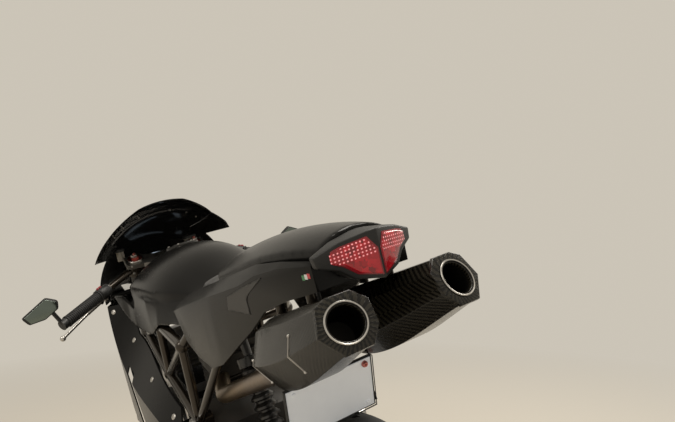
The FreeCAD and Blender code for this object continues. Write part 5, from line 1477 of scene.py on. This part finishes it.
class BIKE_OT_panel_trim(BikeStep):
    """Add the fasteners of the fairing and the screen, and the tank's cap"""

    bl_idname = "bike.panel_trim"
    bl_label = "Panel fasteners"

    # x and z on a side panel
    FASTENERS = [
        (0.570, 0.770), (0.462, 0.780), (0.345, 0.690), (0.140, 0.602), (-0.045, 0.535), (-0.128, 0.440),
        (-0.085, 0.285), (0.300, 0.285), (0.375, 0.430),
    ]
    # y and z on the screen's inside
    SCREEN_BOLTS = [(0.145, 1.024), (0.112, 1.048), (0.055, 1.070)]

    def execute(self, context):
        for side, word in SIDES:
            places = [side_landing("side_fairing_" + word, side, x, z) for x, z in self.FASTENERS]
            head = lathe([(0.0082, -0.001), (0.0082, 0.0008), (0.0070, 0.0017), (0.0040, 0.0022),
                          (0.0036, 0.001)], 20)
            fitted(head, places, "fairing_fasteners_" + word, "bright_steel")
        places = []
        for side in (1, -1):
            for y, z in self.SCREEN_BOLTS:
                places.append(aimed(*landing("windscreen", (0.1, side * y, z), (1, 0, 0))))
        fitted(bolt(0.0030, 0.0028, 12), places, "screen_bolts", "bright_steel")
        self.add_tank_cap()
        return {"FINISHED"}

    def add_tank_cap(self):
        """The flush fuel cap with its ring of bolts."""
        place = aimed(*landing("fuel_tank", (0.175, 0, 1.2), (0, 0, -1)))
        cap = lathe([(0.0500, -0.007), (0.0500, 0.0016), (0.0475, 0.0036), (0.0360, 0.0044),
                     (0.0345, 0.0030), (0.0290, 0.0030), (0.0280, 0.0062), (0.0240, 0.0070),
                     (0.0060, 0.0070)], 56)
        finished(cap, "tank_cap", "fork_gold", place=place)
        out = Matrix.Translation((0.0415, 0, 0.0036))
        ring = [place @ Matrix.Rotation(math.radians(60 * step), 4, "Z") @ out for step in range(6)]
        fitted(bolt(0.0026, 0.0026, 12), ring, "tank_cap_bolts", "bright_steel")


class BIKE_OT_cockpit(BikeStep):
    """Stand the pale display in front of the rider and put a black sheet of painted shade behind each of the
    fairing's slots
    """

    bl_idname = "bike.cockpit"
    bl_label = "Display and slot liners"

    # y and z round the display
    DISPLAY = [
        (0.064, 0.868), (0.066, 0.905), (0.050, 0.921), (0.010, 0.929), (-0.040, 0.925), (-0.078, 0.908),
        (-0.084, 0.896), (-0.078, 0.868),
    ]
    # x and z round the slot in a side panel, and how deep behind it lies the black sheet of painted shade
    SLOT = [(0.344, 0.632), (0.258, 0.618), (0.170, 0.440), (0.268, 0.424)]
    BEHIND = 0.0125

    def execute(self, context):
        screen = round_edges(plate_of(self.DISPLAY, 0.0040), 0.0012, 3, 50)
        finished(screen, "display", "display", place=looking_back(0.590))
        middle = Vector((-0.006, 0.892))
        outline = [middle + (Vector(spot) - middle) * 1.07 for spot in self.DISPLAY]
        case = round_edges(plate_of(outline, 0.0120), 0.0020, 3, 50)
        finished(case, "display_case", "black_plastic", place=looking_back(0.5945))
        for side, word in SIDES:
            back = Matrix.Translation((0, 0, -self.BEHIND))
            corners = [
                (side_landing("side_fairing_" + word, side, x, z) @ back).translation for x, z in self.SLOT
            ]
            # Each black sheet is painted shade: it stands behind the slot so that the slot reads dark.
            shade_sheet = plate_of([(0, 0), (1, 0), (1, 1), (0, 1)], 0.003)
            for number, vertex in enumerate(shade_sheet.data.vertices):
                inward = -side * 0.004 if number > 3 else 0
                vertex.co = corners[number % 4] + Vector((0, inward, 0))
            edit(shade_sheet)
            close()
            finished(round_edges(shade_sheet, 0.0008, 2, 50), "slot_liner_" + word, "black_plastic")
        return {"FINISHED"}


class BIKE_OT_headlamps(BikeStep):
    """Set a reflector bowl and a lens behind each headlamp cover"""

    bl_idname = "bike.headlamps"
    bl_label = "Headlamps"

    def execute(self, context):
        places = on_both_sides([aimed((0.640, 0.070, 0.796), (1, 0.25, 0))])
        bowl = lathe([(0.0290, 0.024), (0.0305, 0.024), (0.0270, 0.008), (0.0150, -0.003), (0.0060, -0.006),
                      (0.0050, -0.004), (0.0140, 0), (0.0255, 0.010)], 40, hollow=True)
        fitted(bowl, places, "headlamp_bowls", "bright_steel", angle=40)
        lens = lathe([(0.0262, 0.012), (0.0262, 0.015), (0.0225, 0.021), (0.0150, 0.0255),
                      (0.0060, 0.0275)], 32)
        fitted(lens, places, "headlamp_lenses", "lamp_clear", angle=60)
        return {"FINISHED"}


STEPS = (
    BIKE_OT_stage,
    BIKE_OT_finishes,
    BIKE_OT_bodywork,
    BIKE_OT_seat,
    BIKE_OT_tail_lamp,
    BIKE_OT_silencers,
    BIKE_OT_plate,
    BIKE_OT_tail_trim,
    BIKE_OT_fork_tops,
    BIKE_OT_controls,
    BIKE_OT_mirrors,
    BIKE_OT_chain,
    BIKE_OT_tyres,
    BIKE_OT_brakes,
    BIKE_OT_engine_trim,
    BIKE_OT_panel_trim,
    BIKE_OT_headlamps,
    BIKE_OT_cockpit,
)


class BIKE_PT_panel(bpy.types.Panel):
    """The build steps, in order"""

    bl_idname = "BIKE_PT_panel"
    bl_label = "Sport bike"
    bl_space_type = "VIEW_3D"
    bl_region_type = "UI"
    bl_category = "Sport bike"

    def draw(self, context):
        for step in STEPS:
            self.layout.operator(step.bl_idname)
        for group in (context.scene.bike_sizes, context.scene.bike_colours):
            for key in group.__annotations__:
                self.layout.prop(group, key)


CLASSES = (BikeSizes, BikeColours, *STEPS, BIKE_PT_panel)


def register():
    for made in CLASSES:
        bpy.utils.register_class(made)
    bpy.types.Scene.bike_sizes = bpy.props.PointerProperty(type=BikeSizes)
    bpy.types.Scene.bike_colours = bpy.props.PointerProperty(type=BikeColours)


def unregister():
    del bpy.types.Scene.bike_colours
    del bpy.types.Scene.bike_sizes
    for made in reversed(CLASSES):
        bpy.utils.unregister_class(made)


def main():
    """Builds the bike step by step."""
    register()
    for step in STEPS:
        group, name = step.bl_idname.split(".")
        getattr(getattr(bpy.ops, group), name)()


if __name__ == "__main__":
    main()
